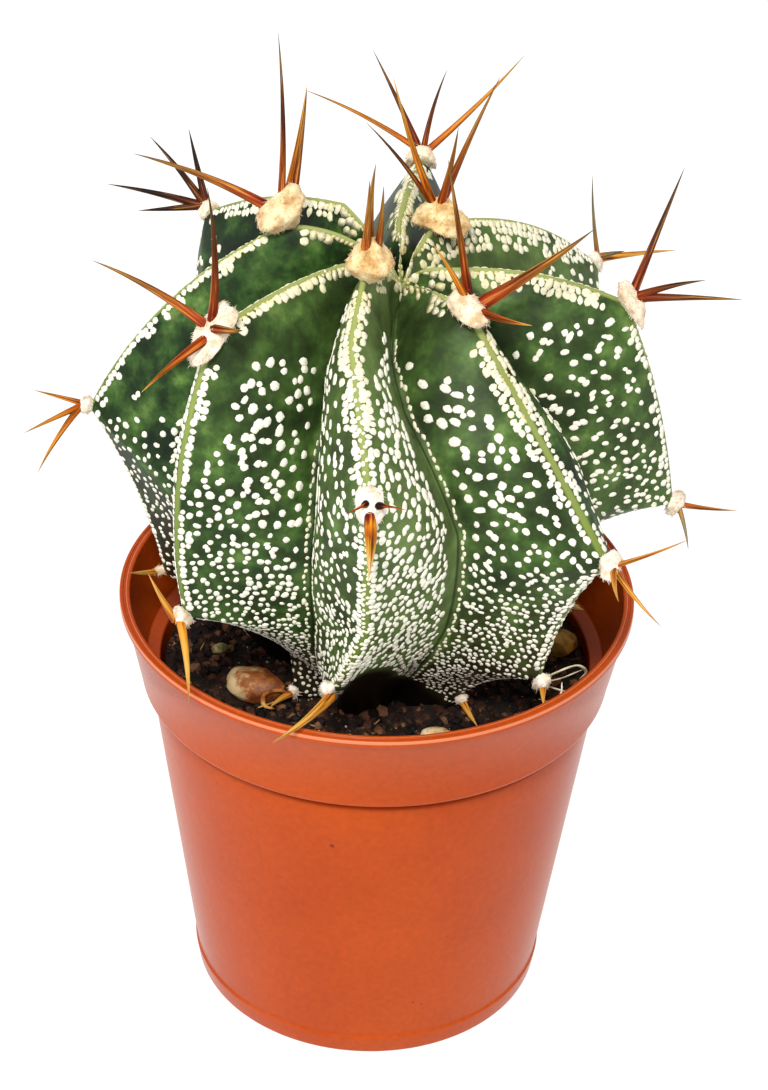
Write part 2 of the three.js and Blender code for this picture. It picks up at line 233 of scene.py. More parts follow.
# %% Rib table
APEX = Vector((1.5, -0.5, 86.3))
FIRST_BOW = {"left": 2.0}
USUAL_FIRST_BOW = 0.8
RIBS = {
    "front": [
        (-104, 8.9, 91.8, 0.3, (4.2, 5.4, 2.8), [(10.4, -50, 84), (10.0, -85, 75), (9.1, -53, 75)]),
        (-102, 15.5, 88.2, 0.4),
        (-92, 27.0, 77.0, 1.0, (3.4, 3.2, 1.6), [(8.0, -89, -26), (4.7, -36, 20), (3.8, -127, 18)]),
        (-92.5, 24.6, 60.5, 0.6),
        (-102, 20.0, 49.7, -1.0, (2.6, 2.2, 1.4), [(11.5, -119, 9)]),
        (-105, 10.5, 38.0, 0),
    ],
    "front_right": [
        (-46, 11.9, 88.0, 0, (6.2, 4.4, 2.2),
         [(14.6, 126, 70), (8.0, -172, 59), (13.9, 11, 33), (7.4, -40, 5)]),
        (-43, 31.0, 67.2, -1.2, (2.6, 2.2, 1.4), [(7.8, 4, 25), (7.5, -49, -27), (4.7, -89, -11)]),
        (-43, 23.3, 49.3, -1.0, (2.4, 2.0, 1.4), [(2.7, -94, -12)]),
        (-48, 13.6, 42.5, 0, (2.2, 1.8, 1.2), [(3.3, -63, -13)]),
        (-50, 10.5, 38.0, 0),
    ],
    "right": [
        (-3, 6.0, 88.4, 1.2),
        (-2, 24.2, 85.5, 0.9, (5.6, 2.6, 1.6), [(13.8, 58, 50), (7.5, -11, 21), (10.8, -3, 1)]),
        (-2, 30.6, 61.9, 0, (2.4, 2.0, 1.3), [(6.0, -3, -1), (5.1, -80, -30)]),
        (-2, 23.0, 60.4, -0.6),
        (-3, 20.0, 48.5, -0.5, (2.2, 1.8, 1.3), [(4.6, -20, 6), (3.6, 30, -4)]),
        (-4, 10.5, 38.0, 0),
    ],
    "back_right": [
        (55, 8.6, 89.6, 2.2, (4.2, 5.6, 2.8),
         [(11.8, 160, 47), (14.9, 152, 68), (10.4, -30, 79), (15.1, 43, 58)]),
        (42, 29.8, 78.6, 1.5, (3.0, 2.4, 1.5), [(8.8, 101, 51), (8.6, 14, -1), (4.8, -56, 31)]),
        (42, 27.0, 54.0, -1.5, (2.6, 2.2, 1.4), [(8.2, 30, 6), (6.6, 62, -18)]),
        (42, 10.5, 38.0, 0),
    ],
    "back": [
        (80, 6.0, 90.0, 1.0),
        (82, 24.0, 88.2, 2.0, (4.0, 3.6, 1.8),
         [(14.4, 162, 19), (11.9, 135, 48), (8.9, 59, 60), (15.0, 32, 34)]),
        (85, 29.5, 62.0, 0.5, (2.6, 2.2, 1.4), [(8.0, 104, 14), (7.4, 66, -8), (5.2, 88, -32)]),
        (86, 22.0, 48.5, -0.5, (2.4, 2.0, 1.3), [(3.4, 96, 44)]),
        (86, 10.5, 38.0, 0),
    ],
    "back_left": [
        (133, 6.5, 92.6, 1.2),
        (133, 28.0, 83.0, 2.0, (3.2, 2.4, 1.6),
         [(9.6, 138, 31), (8.3, 111, 49), (10.6, 171, 6), (7.1, -167, -2)]),
        (132, 28.0, 57.0, -1.5, (2.6, 2.2, 1.4), [(7.6, 148, 4), (7.2, 112, -14)]),
        (131, 10.5, 38.0, 0),
    ],
    "left": [
        (178, 10.3, 92.4, 2.4, (4.2, 5.2, 2.6),
         [(18.1, 100, 74), (13.1, 63, 70), (13.3, 45, 77), (16.0, 170, 18)]),
        (178, 30.3, 70.2, -0.9, (2.4, 2.0, 1.3),
         [(5.1, 172, 11), (7.1, -142, -10), (9.0, -121, -31)]),
        (176, 23.0, 49.6, -0.7, (2.4, 2.0, 1.4), [(5.0, -125, 28)]),
        (175, 10.5, 38.0, 0),
    ],
    "front_left": [
        (-137, 6.0, 90.6, 0.8),
        (-137, 22.4, 88.8, 2.6, (5.6, 3.6, 1.8),
         [(12.8, 168, 26), (13.6, 95, 74), (9.8, -130, -19), (6.3, -53, 23)]),
        (-138, 26.0, 57.0, -1.1, (2.4, 2.0, 1.4), [(6.3, 126, 25), (9.5, -79, -26)]),
        (-136, 11.3, 45.6, -0.1),
        (-135, 12.0, 41.3, 0, (2.2, 1.8, 1.2), [(3.5, -120, 9)]),
        (-140, 10.5, 38.0, 0),
    ],
}
NAMES = list(RIBS)
# The furrow's share of the way from a rib to the next, at the crown and at the waist.
FURROW_SHARE = {"front": (0.2, 0.5), "front_left": (0.6, 0.6)}
# How far a furrow lags behind the ridges beside it, as a share of its length.
FURROW_LAG = {"front_right": 0.085}
# The furrow from the crown down, as radius and height.
FURROW = [
    (0.3, 85.2), (1.2, 85.0), (5.0, 82.5), (11.0, 79.5), (16.5, 75.0), (19.3, 68.5),
    (19.5, 61.5), (17.5, 54.5), (13.5, 47.5), (9.5, 42.5), (8.0, 38.0),
]
print(len(RIBS), "ribs,", sum(len(p) > 4 for rib in RIBS.values() for p in rib), "areoles")

# %% [markdown]
# ## Ridge and furrow lines
# Each run of ridge is a simple bowed curve between two points. The furrow is one smooth curve
# through its points, swung round to lie between two ridges. Both are measured along their length,
# so that a share of 0.5 is half way down each of them. Joining equal shares gives level lines.

# %% Ridges and furrows
STEPS = 60


def place_of(point):
    return Vector((*(direction(point[0]) * point[1]).xy, point[2]))


def outwards(run, bearing):
    """Square to a run of ridge, in the rib's own upright plane, pointing out of the plant."""
    radial = direction(bearing)
    return (radial * -run.z + Vector((0, 0, run.dot(radial)))).normalized()


def ridge_line(points, bow):
    """The ridge as a dense line of points, as an array. The bow is that of its first run."""
    line, start = [], APEX
    for point in points:
        end = place_of(point)
        middle = start.lerp(end, 0.5) + outwards(end - start, point[0]) * 2 * bow
        for step in range(STEPS):
            t = step / STEPS
            line.append(start * (1 - t) ** 2 + middle * 2 * t * (1 - t) + end * t * t)
        start, bow = end, point[3]
    return np.array([*line, start])


def smooth_line(points):
    """A centripetal Catmull-Rom curve through flat points, as a dense line."""
    p = np.array(points, float)
    p = np.vstack([2 * p[0] - p[1], p, 2 * p[-1] - p[-2]])
    line = []
    for i in range(1, len(p) - 2):
        gaps = [max(np.linalg.norm(p[i + k] - p[i + k - 1]) ** 0.5, 1e-4) for k in range(3)]
        a, b, c = gaps
        lead = (p[i] - p[i - 1]) / a - (p[i + 1] - p[i - 1]) / (a + b) + (p[i + 1] - p[i]) / b
        trail = (p[i + 1] - p[i]) / b - (p[i + 2] - p[i]) / (b + c) + (p[i + 2] - p[i + 1]) / c
        lead, trail, span = lead * b, trail * b, p[i + 1] - p[i]
        for step in range(STEPS):
            t = step / STEPS
            line.append(p[i] + lead * t + (3 * span - 2 * lead - trail) * t**2
                        + (lead + trail - 2 * span) * t**3)
    return np.array([*line, p[-2]])


def length_of(line):
    return float(np.linalg.norm(np.diff(line, axis=0), axis=1).sum())


def along_line(line, shares):
    """The points at these shares of a line's length."""
    lengths = np.r_[0, np.cumsum(np.linalg.norm(np.diff(line, axis=0), axis=1))]
    return np.stack([np.interp(shares * lengths[-1], lengths, axis) for axis in line.T], 1)


ROWS = 150
down = np.arange(ROWS + 1) / ROWS
ridges = [along_line(ridge_line(points, FIRST_BOW.get(name, USUAL_FIRST_BOW)), down)
          for name, points in RIBS.items()]
print("ridge lengths, mm:", [round(length_of(ridge)) for ridge in ridges])

# %% [markdown]
# The stem leans a little, so the furrows turn round an axis that drifts towards the crown.

# %% Swing the furrows into place
# The height above which the stem leans, in mm, and the waist's share of the way down.
LEAN_FROM, WAIST = 45, 0.45


def furrow_between(index):
    """The furrow on the side of a rib where the bearing grows."""
    lag = FURROW_LAG.get(NAMES[index], 0) * np.sin(np.pi * down) ** 2
    radius, height = along_line(smooth_line(FURROW), down - lag).T
    lean = np.clip((height - LEAN_FROM) / (APEX.z - LEAN_FROM), 0, 1)
    centre = np.stack([APEX.x * lean, APEX.y * lean], 1)
    first, last = [
        np.arctan2(*(ridges[i % len(NAMES)][:, :2] - centre).T[::-1]) for i in (index, index + 1)
    ]
    crown, waist = FURROW_SHARE.get(NAMES[index], (0.5, 0.5))
    share = crown + (waist - crown) * np.minimum(down / WAIST, 1)
    bearing = first + np.mod(last - first, 2 * np.pi) * share
    return np.stack([
        centre[:, 0] + radius * np.cos(bearing), centre[:, 1] + radius * np.sin(bearing), height,
    ], 1)


furrows = [furrow_between(index) for index in range(len(NAMES))]
widest = max(np.linalg.norm(furrow[:, :2], axis=1).max() for furrow in furrows)
print("furrow radius at the waist, mm:", round(float(widest), 1))

# %% [markdown]
# ## The flanks
# A flank runs from a ridge down to a furrow. Real flanks are plump: they swell outwards between the
# two, and the ridge is not a knife edge but a blunt cord about a millimetre wide. So the flank is a
# straight blend, plus a swelling, plus a quick shoulder next to the ridge, plus faint unevenness
# from a noise field. The columns crowd together at the ridge, where the shape turns fastest.

# %% Flank surfaces
FLANK_BULGE = 1.2
# The swelling's share of FLANK_BULGE, from the crown down: below the waist the flanks are hollow.
PLUMP = ((0, 1), (0.42, 1), (0.66, -0.4), (1, 0))
SHOULDER = 0.5
SHOULDER_REACH = 0.45
UNEVEN = 0.16
UNEVEN_SIZE = 5.0
SHARES = np.array([0, 0.015, 0.035, 0.06, 0.1, 0.16, 0.25, 0.37, 0.5, 0.64, 0.78, 0.9, 1.0])


def flank(rib, side):
    """A grid of points [row, column] from a rib's ridge to the furrow on that side, in mm."""
    ridge = ridges[rib]
    furrow = furrows[rib if side > 0 else rib - 1]
    other = ridges[(rib + side) % len(NAMES)]
    across = (furrow - ridge) * (1, 1, 0)
    width = np.linalg.norm(furrow - ridge, axis=1)
    across /= np.maximum(np.linalg.norm(across, axis=1), 1e-6)[:, None]
    out = np.stack([-across[:, 1], across[:, 0], 0 * width], 1)
    out *= np.where(((other - ridge) * out).sum(1) < 0, -1, 1)[:, None]
    ends = np.minimum(down / 0.15, 1) * np.minimum((1 - down) / 0.12, 1)
    ends *= np.interp(down, *zip(*PLUMP))
    away = SHARES[None, :] * width[:, None]
    swell = FLANK_BULGE * np.sin(np.pi * SHARES)[None, :] * ends[:, None]
    shoulder = SHOULDER * (1 - np.exp(-away / SHOULDER_REACH)) * (1 - SHARES[None, :] ** 4)
    shoulder *= np.minimum(down / 0.05, 1)[:, None]
    grid = ridge[:, None] + (furrow - ridge)[:, None] * SHARES[None, :, None]
    grid = grid + out[:, None] * (swell + shoulder)[:, :, None]
    for row in range(1, ROWS + 1):
        for column in range(1, len(SHARES) - 1):
            bump = noise.noise(Vector(grid[row, column]) / UNEVEN_SIZE)
            grid[row, column] += out[row] * UNEVEN * bump * min(1, away[row, column] / 2)
    return grid


flanks = {(rib, side): flank(rib, side) for rib in range(len(NAMES)) for side in (1, -1)}
print(len(flanks), "flanks of", (ROWS + 1) * len(SHARES), "points")

# %% [markdown]
# ## The stem's mesh
# A globe is the natural start: its rings become the level lines and its poles become the crown and
# the root. A UV sphere is added with as many segments as the ribs need, and each of its points is
# moved to its place on a flank. Three rings below the last level line close the neck in the soil.
# Numbers are kept on each point for the material: the share of the way down, the distances from the
# ridge and from the furrow in mm, how much pale bloom the flank wears there, how brown its foot is,
# and where the painted shade of its underside begins.

# %% Stem mesh
# Bloom at the crown, half way down and at the foot, for the flanks that wear any.
BLOOM = {
    ("front", 1): (0.6, 0.7, 0.6), ("front", -1): (0.5, 0.35, 0.3), ("right", -1): (0.1, 0.25, 0.6),
    ("front_right", -1): (0.25, 0.15, 0.6), ("front_left", 1): (0.25, 0.1, 0.15),
    ("right", 1): (0.1, 0.2, 0.4), ("back_right", -1): (0.6, 0.5, 0.3),
}
# How brown the foot of each flank turns, where it differs from the usual.
BROWN = {("front", 1): 0.1, ("front", -1): 0.5, ("front_right", -1): 1.3, ("front_left", 1): 1.0,
         ("front_left", -1): 1.5, ("left", 1): 1.4}
USUAL_BROWN = 0.6
# How far down a flank's flecks reach, at these shares of the way across. Below, the skin is
# painted near black as shade.
ACROSS = (0, 0.15, 0.3, 0.6, 1.0)
ENDS = {
    ("front", 1): (0.87, 0.755, 0.74, 0.76, 0.84), ("front", -1): (0.87, 0.9, 0.92, 0.94, 0.96),
    ("front_left", 1): (0.92, 0.94, 0.96, 0.96, 0.96),
    ("front_right", -1): (0.95, 0.94, 0.92, 0.9, 0.84),
}
USUAL_END = (0.95, 0.93, 0.91, 0.89, 0.88)
NECK_ROWS = 3
NECK_RADIUS = 6.5
NECK_HEIGHT = 34.5
ROOT_HEIGHT = 32.0
# What each point keeps, besides its share of the way down.
TRAITS = ("crest_mm", "furrow_mm", "bloom", "brown", "dark")


def level_ring(row):
    """One ring round the stem: its points, and the traits of each."""
    points, traits = [], []
    for rib in range(len(NAMES)):
        after = (rib + 1) % len(NAMES)
        for key, line, shares in (((rib, 1), flanks[rib, 1][row], SHARES),
                                  ((after, -1), flanks[after, -1][row][-2:0:-1], SHARES[-2:0:-1])):
            name = (NAMES[key[0]], key[1])
            ridge, furrow = flanks[key][row][0], flanks[key][row][-1]
            ends = np.interp(shares, ACROSS, ENDS.get(name, USUAL_END))
            points += [*line]
            traits += [*np.stack([
                np.linalg.norm(line - ridge, axis=1), np.linalg.norm(line - furrow, axis=1),
                np.full(len(line), np.interp(row / ROWS, (0.05, 0.5, 0.8),
                                             BLOOM.get(name, (0, 0, 0)))),
                np.full(len(line), BROWN.get(name, USUAL_BROWN)),
                # The last trait masks painted shade: near-black skin below where the flecks end.
                np.clip((row / ROWS - ends) / 0.02, 0, 1),
            ], 1)]
    return np.array(points), np.array(traits)


columns = 2 * (len(SHARES) - 1) * len(NAMES)
rings = ROWS + NECK_ROWS + 1
stem = begin(bpy.ops.mesh.primitive_uv_sphere_add, "cactus_stem",
             segments=columns, ring_count=rings, radius=1)
globe = np.array([v.co for v in stem.data.vertices])
ring_of = np.rint(np.arccos(np.clip(globe[:, 2], -1, 1)) / np.pi * rings).astype(int)
share_round = np.arctan2(globe[:, 1], globe[:, 0]) / (2 * np.pi)
column_of = np.rint(share_round * columns).astype(int) % columns
levels = [level_ring(row) for row in range(ROWS + 1)]
neck = np.array([[NECK_RADIUS * math.cos(a), NECK_RADIUS * math.sin(a), NECK_HEIGHT]
                 for a in np.arctan2(levels[-1][0][:, 1], levels[-1][0][:, 0])])
placed = np.zeros_like(globe)
traits = np.zeros((len(globe), len(TRAITS)))
share_down = np.zeros(len(globe))
for i, (ring, column) in enumerate(zip(ring_of, column_of)):
    if ring <= ROWS:
        placed[i] = levels[ring][0][column]
    elif ring < rings:
        blend = (ring - ROWS) / NECK_ROWS
        placed[i] = levels[-1][0][column] * (1 - blend) + neck[column] * blend
    else:
        placed[i] = (0, 0, ROOT_HEIGHT)
    share_down[i] = min(ring / ROWS, 1)
    traits[i] = levels[min(ring, ROWS)][1][column]
stem.data.vertices.foreach_set("co", (placed * MM).ravel())
for key, values in (("share_down", share_down), *zip(TRAITS, traits.T)):
    stem.data.attributes.new(key, "FLOAT", "POINT").data.foreach_set("value", values)
only(stem)
with edit_mode("SELECT"):
    bpy.ops.mesh.remove_doubles(threshold=1e-6)
    bpy.ops.mesh.normals_make_consistent(inside=False)
bpy.ops.object.shade_smooth()
print("stem:", len(stem.data.polygons), "faces,", [round(v / MM, 1) for v in stem.dimensions])

# %% [markdown]
# ## The stem's skin
# The skin is a tough, waxy epidermis with a soft sheen. Along each ridge it thins to a pale
# grey-green cord, a little under a millimetre wide. The flanks are deep green, cloudy with paler
# and darker patches a few millimetres across and mottled at half a millimetre. Some flanks wear a
# pale waxy bloom, and the oldest skin at the bottom turns brown. Nothing here is one flat colour:
# noise fields of three sizes blend four greens, and the numbers kept on the mesh bring in the
# cord, the bloom and the old foot. They also bring in painted shade: a dark line along each
# furrow's crease, and near-black skin on the underside, where no light reaches.

# %% Skin material
CORD_HALF = 0.42
look = Look("waxy_green_epidermis", Roughness=0.48, IOR=1.42, Specular_IOR_Level=0.2)
cloud, grain, mottle = look.noise(210, 4, 0.62), look.noise(1300, 3), look.noise(620, 2)
colour = look.ramp(
    cloud, (0.36, "#0b1b08"), (0.46, "#182f0f"), (0.57, "#33501f"), (0.68, "#5c7a3a"))
colour = look.mix(0.45, colour, mottle, "OVERLAY")
colour = look.mix(0.3, colour, grain.node.outputs["Color"], "OVERLAY")
bloom = look.maths("MULTIPLY", look.kept("bloom"), look.remap(cloud, 0.3, 0.6, 0.45, 1.0))
colour = look.mix(bloom, colour, "#677c45")
share = look.kept("share_down")
cord = look.remap(look.kept("crest_mm"), CORD_HALF * 0.7, CORD_HALF * 1.5, 0.9, 0)
colour = look.mix(cord, colour, look.ramp(
    share, (0.05, "#a0a866"), (0.35, "#8c9a52"), (0.55, "#728638"), (0.8, "#526528")))
sooner = look.maths("MULTIPLY_ADD", look.kept("brown"), 0.4, share)
ragged = look.maths("MULTIPLY_ADD", mottle, 0.35, sooner)
colour = look.mix(look.remap(ragged, 1.28, 1.48, 0, 0.92), colour, "#281c10")
# Painted shade: a dark line along the bottom of each furrow's crease.
painted_crease_shade = look.remap(look.kept("furrow_mm"), 0.08, 0.3, 0.7, 0)
colour = look.mix(painted_crease_shade, colour, "#0a1606")
# Painted shade: near-black skin on the underside, below where the flecks end.
colour = look.mix(look.kept("dark"), colour, "#0c0704")
stem.data.materials.append(look.finish(colour, grain, 0.25, 0.0001))
hand_over(stem, "stem_skin", "stem")
print("skin:", len(look.tree.nodes), "nodes")

# %% [markdown]
# ## Stamping copies
# The plant carries thousands of white flecks and felt hairs. Each kind is modelled once, as a tiny
# mesh, and stamped many times into one object, so that every copy has its own faces. A number per
# stamp can be kept on the points, for the material to read.

# %% Stamp helper
def stamp(template, name, places, **numbers):
    """One object with a copy of the template at each 4 x 4 matrix."""
    base = np.array([v.co for v in template.data.vertices])
    faces = [tuple(p.vertices) for p in template.data.polygons]
    places = np.array(places)
    points = np.einsum("nij,vj->nvi", places[:, :3, :3], base) + places[:, None, :3, 3]
    mesh = bpy.data.meshes.new(name)
    mesh.from_pydata(
        points.reshape(-1, 3).tolist(), [],
        [tuple(i + k * len(base) for i in face) for k in range(len(places)) for face in faces],
    )
    for key, values in numbers.items():
        spread = np.repeat(np.array(values, float), len(base))
        mesh.attributes.new(key, "FLOAT", "POINT").data.foreach_set("value", spread)
    made = bpy.data.objects.new(name, mesh)
    bpy.context.scene.collection.objects.link(made)
    return made


def placing(at, out, along, size):
    """A matrix that stands a template at a point, with its Z out and its X along, both scaled."""
    z = Vector(out).normalized()
    x = Vector(along)
    x = (x - z * x.dot(z)).normalized()
    axes = Matrix((x * size[0], z.cross(x) * size[1], z * size[2])).transposed().to_4x4()
    return Matrix.Translation(Vector(at) * MM) @ axes


print("stamp ready")

# %% [markdown]
# ## Flecks
# What makes this cactus look frosted is thousands of tiny tufts of wool on its skin. Each is a low,
# crumpled block, 0.5 to 1.1 mm across. Four kinds are enough to hide the repeat. Each kind is a UV
# sphere cut in half and flattened, squared up at its shoulder, with eight sides pushed in or out.

# %% Fleck kinds
FLECK_SIDES, FLECK_KINDS = 8, 4
shape_luck = random.Random(3)


def fleck_kind(number):
    made = begin(bpy.ops.mesh.primitive_uv_sphere_add, f"fleck_template_{number}",
                 segments=FLECK_SIDES, ring_count=4, radius=0.5)
    with edit_mode("SELECT"):
        bpy.ops.mesh.bisect(plane_co=(0, 0, 0.02), plane_no=(0, 0, 1), clear_inner=True,
                            use_fill=True)
    stretches = [shape_luck.uniform(0.8, 1.2) for _ in range(FLECK_SIDES)]
    for vertex in made.data.vertices:
        turn = math.atan2(vertex.co.y, vertex.co.x) / (2 * math.pi)
        shoulder = 1.14 if 0.2 < vertex.co.z < 0.45 else 1.0
        vertex.co.xy *= stretches[round(turn * FLECK_SIDES) % FLECK_SIDES] * shoulder
        vertex.co.xy += Vector((vertex.co.z * shape_luck.uniform(-0.2, 0.2), 0))
        vertex.co.z = min(vertex.co.z, 0.42) + shape_luck.uniform(-0.05, 0.05) - 0.1
    return made


fleck_kinds = [fleck_kind(number) for number in range(FLECK_KINDS)]
print("one fleck:", len(fleck_kinds[0].data.polygons), "faces")

# %% [markdown]
# The flecks are not scattered evenly. Rows of them are packed like masonry against each ridge,
# more of them near the crown. Beside those lies bare skin. Lower down, large flecks begin, often
# fused in twos and threes, and they get smaller and closer towards the soil, until the underside
# is almost white. So each flank gets a plan: where its flecks begin, how close they sit, how
# large they are and how much they are drawn out along the furrow. Chance does the rest: spots are
# tried at random, and one is kept if no other fleck is too near.

# %% Fleck plans
# start: share of the way down where flecks begin, at the shares across that ACROSS holds.
# gap and size in mm, at these shares of the way down.
PLAN_DOWN = (0.2, 0.45, 0.68, 0.84)
PLAIN = dict(start=(0.45, 0.42, 0.36, 0.32, 0.26), gap=(1.45, 1.18, 0.9, 0.68),
             size=(1.08, 0.88, 0.66, 0.5), stretch=(1.0, 1.3), turn=0.0)
PLANS = {
    ("front", -1): dict(start=(0.3, 0.2, 0.14, 0.14, 0.12), gap=(1.36, 1.14, 0.73, 0.52),
                        size=(0.96, 0.8, 0.7, 0.6), stretch=(1.4, 1.9), turn=0.0),
    ("front", 1): dict(start=(0.32, 0.3, 0.22, 0.12, 0.8), gap=(1.1, 0.92, 0.64, 0.48),
                       size=(1.04, 0.88, 0.73, 0.6), stretch=(1.25, 1.6), turn=-0.15),
    ("front_left", 1): dict(start=(0.56, 0.46, 0.28, 0.22, 0.14), gap=(1.4, 1.12, 0.66, 0.46),
                            size=(1.12, 0.9, 0.6, 0.45), stretch=(1.0, 1.15), turn=0.0),
    ("front_left", -1): dict(start=(0.44, 0.38, 0.34, 0.32, 0.3), gap=(1.38, 1.2, 0.92, 0.68),
                             size=(0.98, 0.83, 0.62, 0.48), stretch=(1.0, 1.4), turn=0.0),
    ("front_right", -1): dict(start=(0.2, 0.21, 0.25, 0.17, 0.1), gap=(1.46, 1.14, 0.6, 0.47),
                              size=(1.1, 0.82, 0.58, 0.46), stretch=(1.2, 1.3), turn=1.0),
    ("right", -1): dict(start=(0.3, 0.27, 0.25, 0.22, 0.2), gap=(1.5, 1.22, 0.86, 0.62),
                        size=(0.98, 0.78, 0.6, 0.48), stretch=(1.2, 1.7), turn=1.4),
    ("back_right", -1): dict(start=(0.14, 0.2, 0.24, 0.3, 0.3), gap=(1.8, 1.35, 0.9, 0.68),
                             size=(0.9, 0.85, 0.66, 0.5), stretch=(1.0, 1.3), turn=0.0),
    ("left", 1): dict(start=(0.6, 0.53, 0.48, 0.44, 0.38), gap=(1.5, 1.26, 0.88, 0.62),
                      size=(0.98, 0.8, 0.6, 0.48), stretch=(1.0, 1.5), turn=0.0),
}


def on_flank(grid, row, column):
    """A point of a flank, and its normal and its downward direction, at fractional grid places."""
    r, c = min(int(row), ROWS - 1), min(int(column), len(SHARES) - 2)
    u, v = row - r, column - c
    a, b, d, e = grid[r, c], grid[r, c + 1], grid[r + 1, c], grid[r + 1, c + 1]
    spot = a * (1 - u) * (1 - v) + b * (1 - u) * v + d * u * (1 - v) + e * u * v
    downward = (d - a) * (1 - v) + (e - b) * v
    normal = np.cross((b - a) * (1 - u) + (e - d) * u, downward)
    radial = np.array([spot[0], spot[1], 0])
    return spot, normal if normal @ radial > 0 else -normal, downward


class Ground:
    """Remembers where flecks stand, in cells, to tell how close the nearest one is."""

    def __init__(self, cell=1.2):
        self.cell, self.cells = cell, {}

    def key(self, spot):
        return tuple(int(math.floor(v / self.cell)) for v in spot)

    def is_free(self, spot, gap):
        x, y, z = self.key(spot)
        reach = math.ceil(gap / self.cell)
        around = range(-reach, reach + 1)
        for i in around:
            for j in around:
                for k in around:
                    for other in self.cells.get((x + i, y + j, z + k), ()):
                        if sum((p - q) ** 2 for p, q in zip(spot, other)) < gap * gap:
                            return False
        return True

    def add(self, spot):
        self.cells.setdefault(self.key(spot), []).append(tuple(spot))


print("plans for", len(PLANS), "special flanks")

# %% Areole places
def areole_frame(rib, index):
    """The place of an areole in mm and the way it faces: out, along the ridge and to the side."""
    points = RIBS[rib]
    above = place_of(points[index - 1]) if index else APEX
    place, below = place_of(points[index]), place_of(points[index + 1])
    run = ((place - above).normalized() + (below - place).normalized()).normalized()
    out = outwards(run, points[index][0])
    side = out.cross(run).normalized()
    return place, out, side.cross(out), side


areoles = []
for rib, points in RIBS.items():
    carriers = [index for index, point in enumerate(points) if len(point) > 4]
    for count, index in enumerate(carriers, 1):
        areoles.append((rib, count, areole_frame(rib, index), points[index][4], points[index][5]))
print(len(areoles), "areoles")

# %% Fleck tools
fleck_luck = random.Random(11)
ground = Ground()
# Where the flecks of the flank at hand end.
last_share = USUAL_END


def bare_here(spot):
    """True on the felt of an areole."""
    return any(
        (Vector(spot) - at).length < 0.42 * size[0] + 0.3 for _, _, (at, *_), size, _ in areoles
    )


def try_fleck(found, grid, row, column, gap, size, stretch, tone=0.0, turn=0.0):
    """Keeps a fleck at this place if there is room."""
    if not 0.5 < row < ROWS - 0.5 or not 0 <= column <= len(SHARES) - 1:
        return None
    across = np.interp(column, range(len(SHARES)), SHARES)
    if row / ROWS > np.interp(across, ACROSS, last_share):
        return None
    spot, normal, downward = on_flank(grid, row, column)
    if not ground.is_free(spot, gap) or bare_here(spot):
        return None
    ground.add(spot)
    way = Quaternion(Vector(normal), turn) @ Vector(downward)
    wide = size / math.sqrt(stretch) * fleck_luck.uniform(0.8, 1.2)
    long = size * math.sqrt(stretch) * fleck_luck.uniform(0.8, 1.25)
    tall = min(wide, long) * fleck_luck.uniform(0.3, 0.45)
    found.append((placing(spot, normal, way, (long * MM, wide * MM, tall * MM)), tone))
    return spot


def column_at(grid, row, away):
    """The fractional column that lies this many mm from the ridge, on a row."""
    reach = np.linalg.norm(grid[int(row)] - grid[int(row)][0], axis=1)
    return float(np.interp(away, reach, range(len(SHARES))))


print("fleck tools ready")

# %% [markdown]
# The rows along a ridge stand at set distances from it. On the front rib two more rows climb right
# on to the ridge, and the cord all but disappears under them. The other rows follow the furrows,
# where small drawn-out flecks line the crease.

# %% Rows of flecks
# Rows near the crown, on each side of a ridge. The rest have two.
EDGE_ROWS = {"back_right": 4}
# How far down each row runs, from the cord outwards, and the share of its flecks that is missing.
ROW_ENDS = (0.9, 0.62, 0.36, 0.33)
ROW_MISSING = (0.04, 0.1, 0.2, 0.35)
# The second row thins out from this share of the way down, and then this many are missing.
THIN_FROM, THIN_MISSING = 0.34, 0.72
# Above this share of the way down the flecks are young: closer, larger and yellower.
YOUNG_TO = 0.4
# How far down a ridge has little but the row beside its cord.
SINGLE_ROW = {"front_left": 0.3, "left": 0.5, "back": 0.27}
# Ribs whose young flecks are drawn out across the ridge, like teeth.
TEETH = {"right": 0.72, "back_right": 0.8}
CREST_ROWS = {"front": (0.26, 0.74), "back": (0.03, 0.4), "front_left": (0.03, 0.2)}
FURROW_LINE = {("front_right", -1): 0.08, ("front", -1): 0.1, ("front_left", 1): 0.16}


def edge_rows(found, grid, name):
    """The rows of flecks that edge the ridge: one all the way down, more near the crown."""
    length = length_of(grid[:, 0])
    rows = EDGE_ROWS.get(name, 2)
    for number in range(rows):
        position = 1.6
        while position < length * ROW_ENDS[number]:
            share = position / length
            thin = number == 1 and share >= THIN_FROM
            missing = THIN_MISSING if thin else ROW_MISSING[number]
            size = 1.04 - 0.46 * share
            young = share < YOUNG_TO
            away = CORD_HALF + 0.45 * size + (0.87 if young else 0.95) * size * number
            if number and share < SINGLE_ROW.get(name, 0):
                missing = 0.82
            if fleck_luck.random() > missing:
                row = share * ROWS
                column = column_at(grid, row, away + fleck_luck.uniform(-0.12, 0.12))
                try_fleck(found, grid, row, column, 0.64 * size,
                          size * fleck_luck.uniform(0.85, 1.15),
                          TEETH.get(name, 0.96) if young else 1.1,
                          tone=max(0, 1 - share / YOUNG_TO) * fleck_luck.uniform(0.4, 1),
                          turn=fleck_luck.uniform(-0.5, 0.5))
            position += size * fleck_luck.uniform(*((0.74, 1.0) if young else (0.84, 1.1)))


def piping(found, grid, last):
    """Small cream flecks that line the cord near the crown."""
    length = length_of(grid[:, 0])
    position = 1.2
    while position < length * last:
        row = position / length * ROWS
        column = column_at(grid, row, fleck_luck.uniform(0.5, 0.62))
        try_fleck(found, grid, row, column, 0.3, 0.52, 1.4, tone=fleck_luck.uniform(0.6, 1),
                  turn=fleck_luck.uniform(-0.3, 0.3))
        position += fleck_luck.uniform(0.4, 0.6)


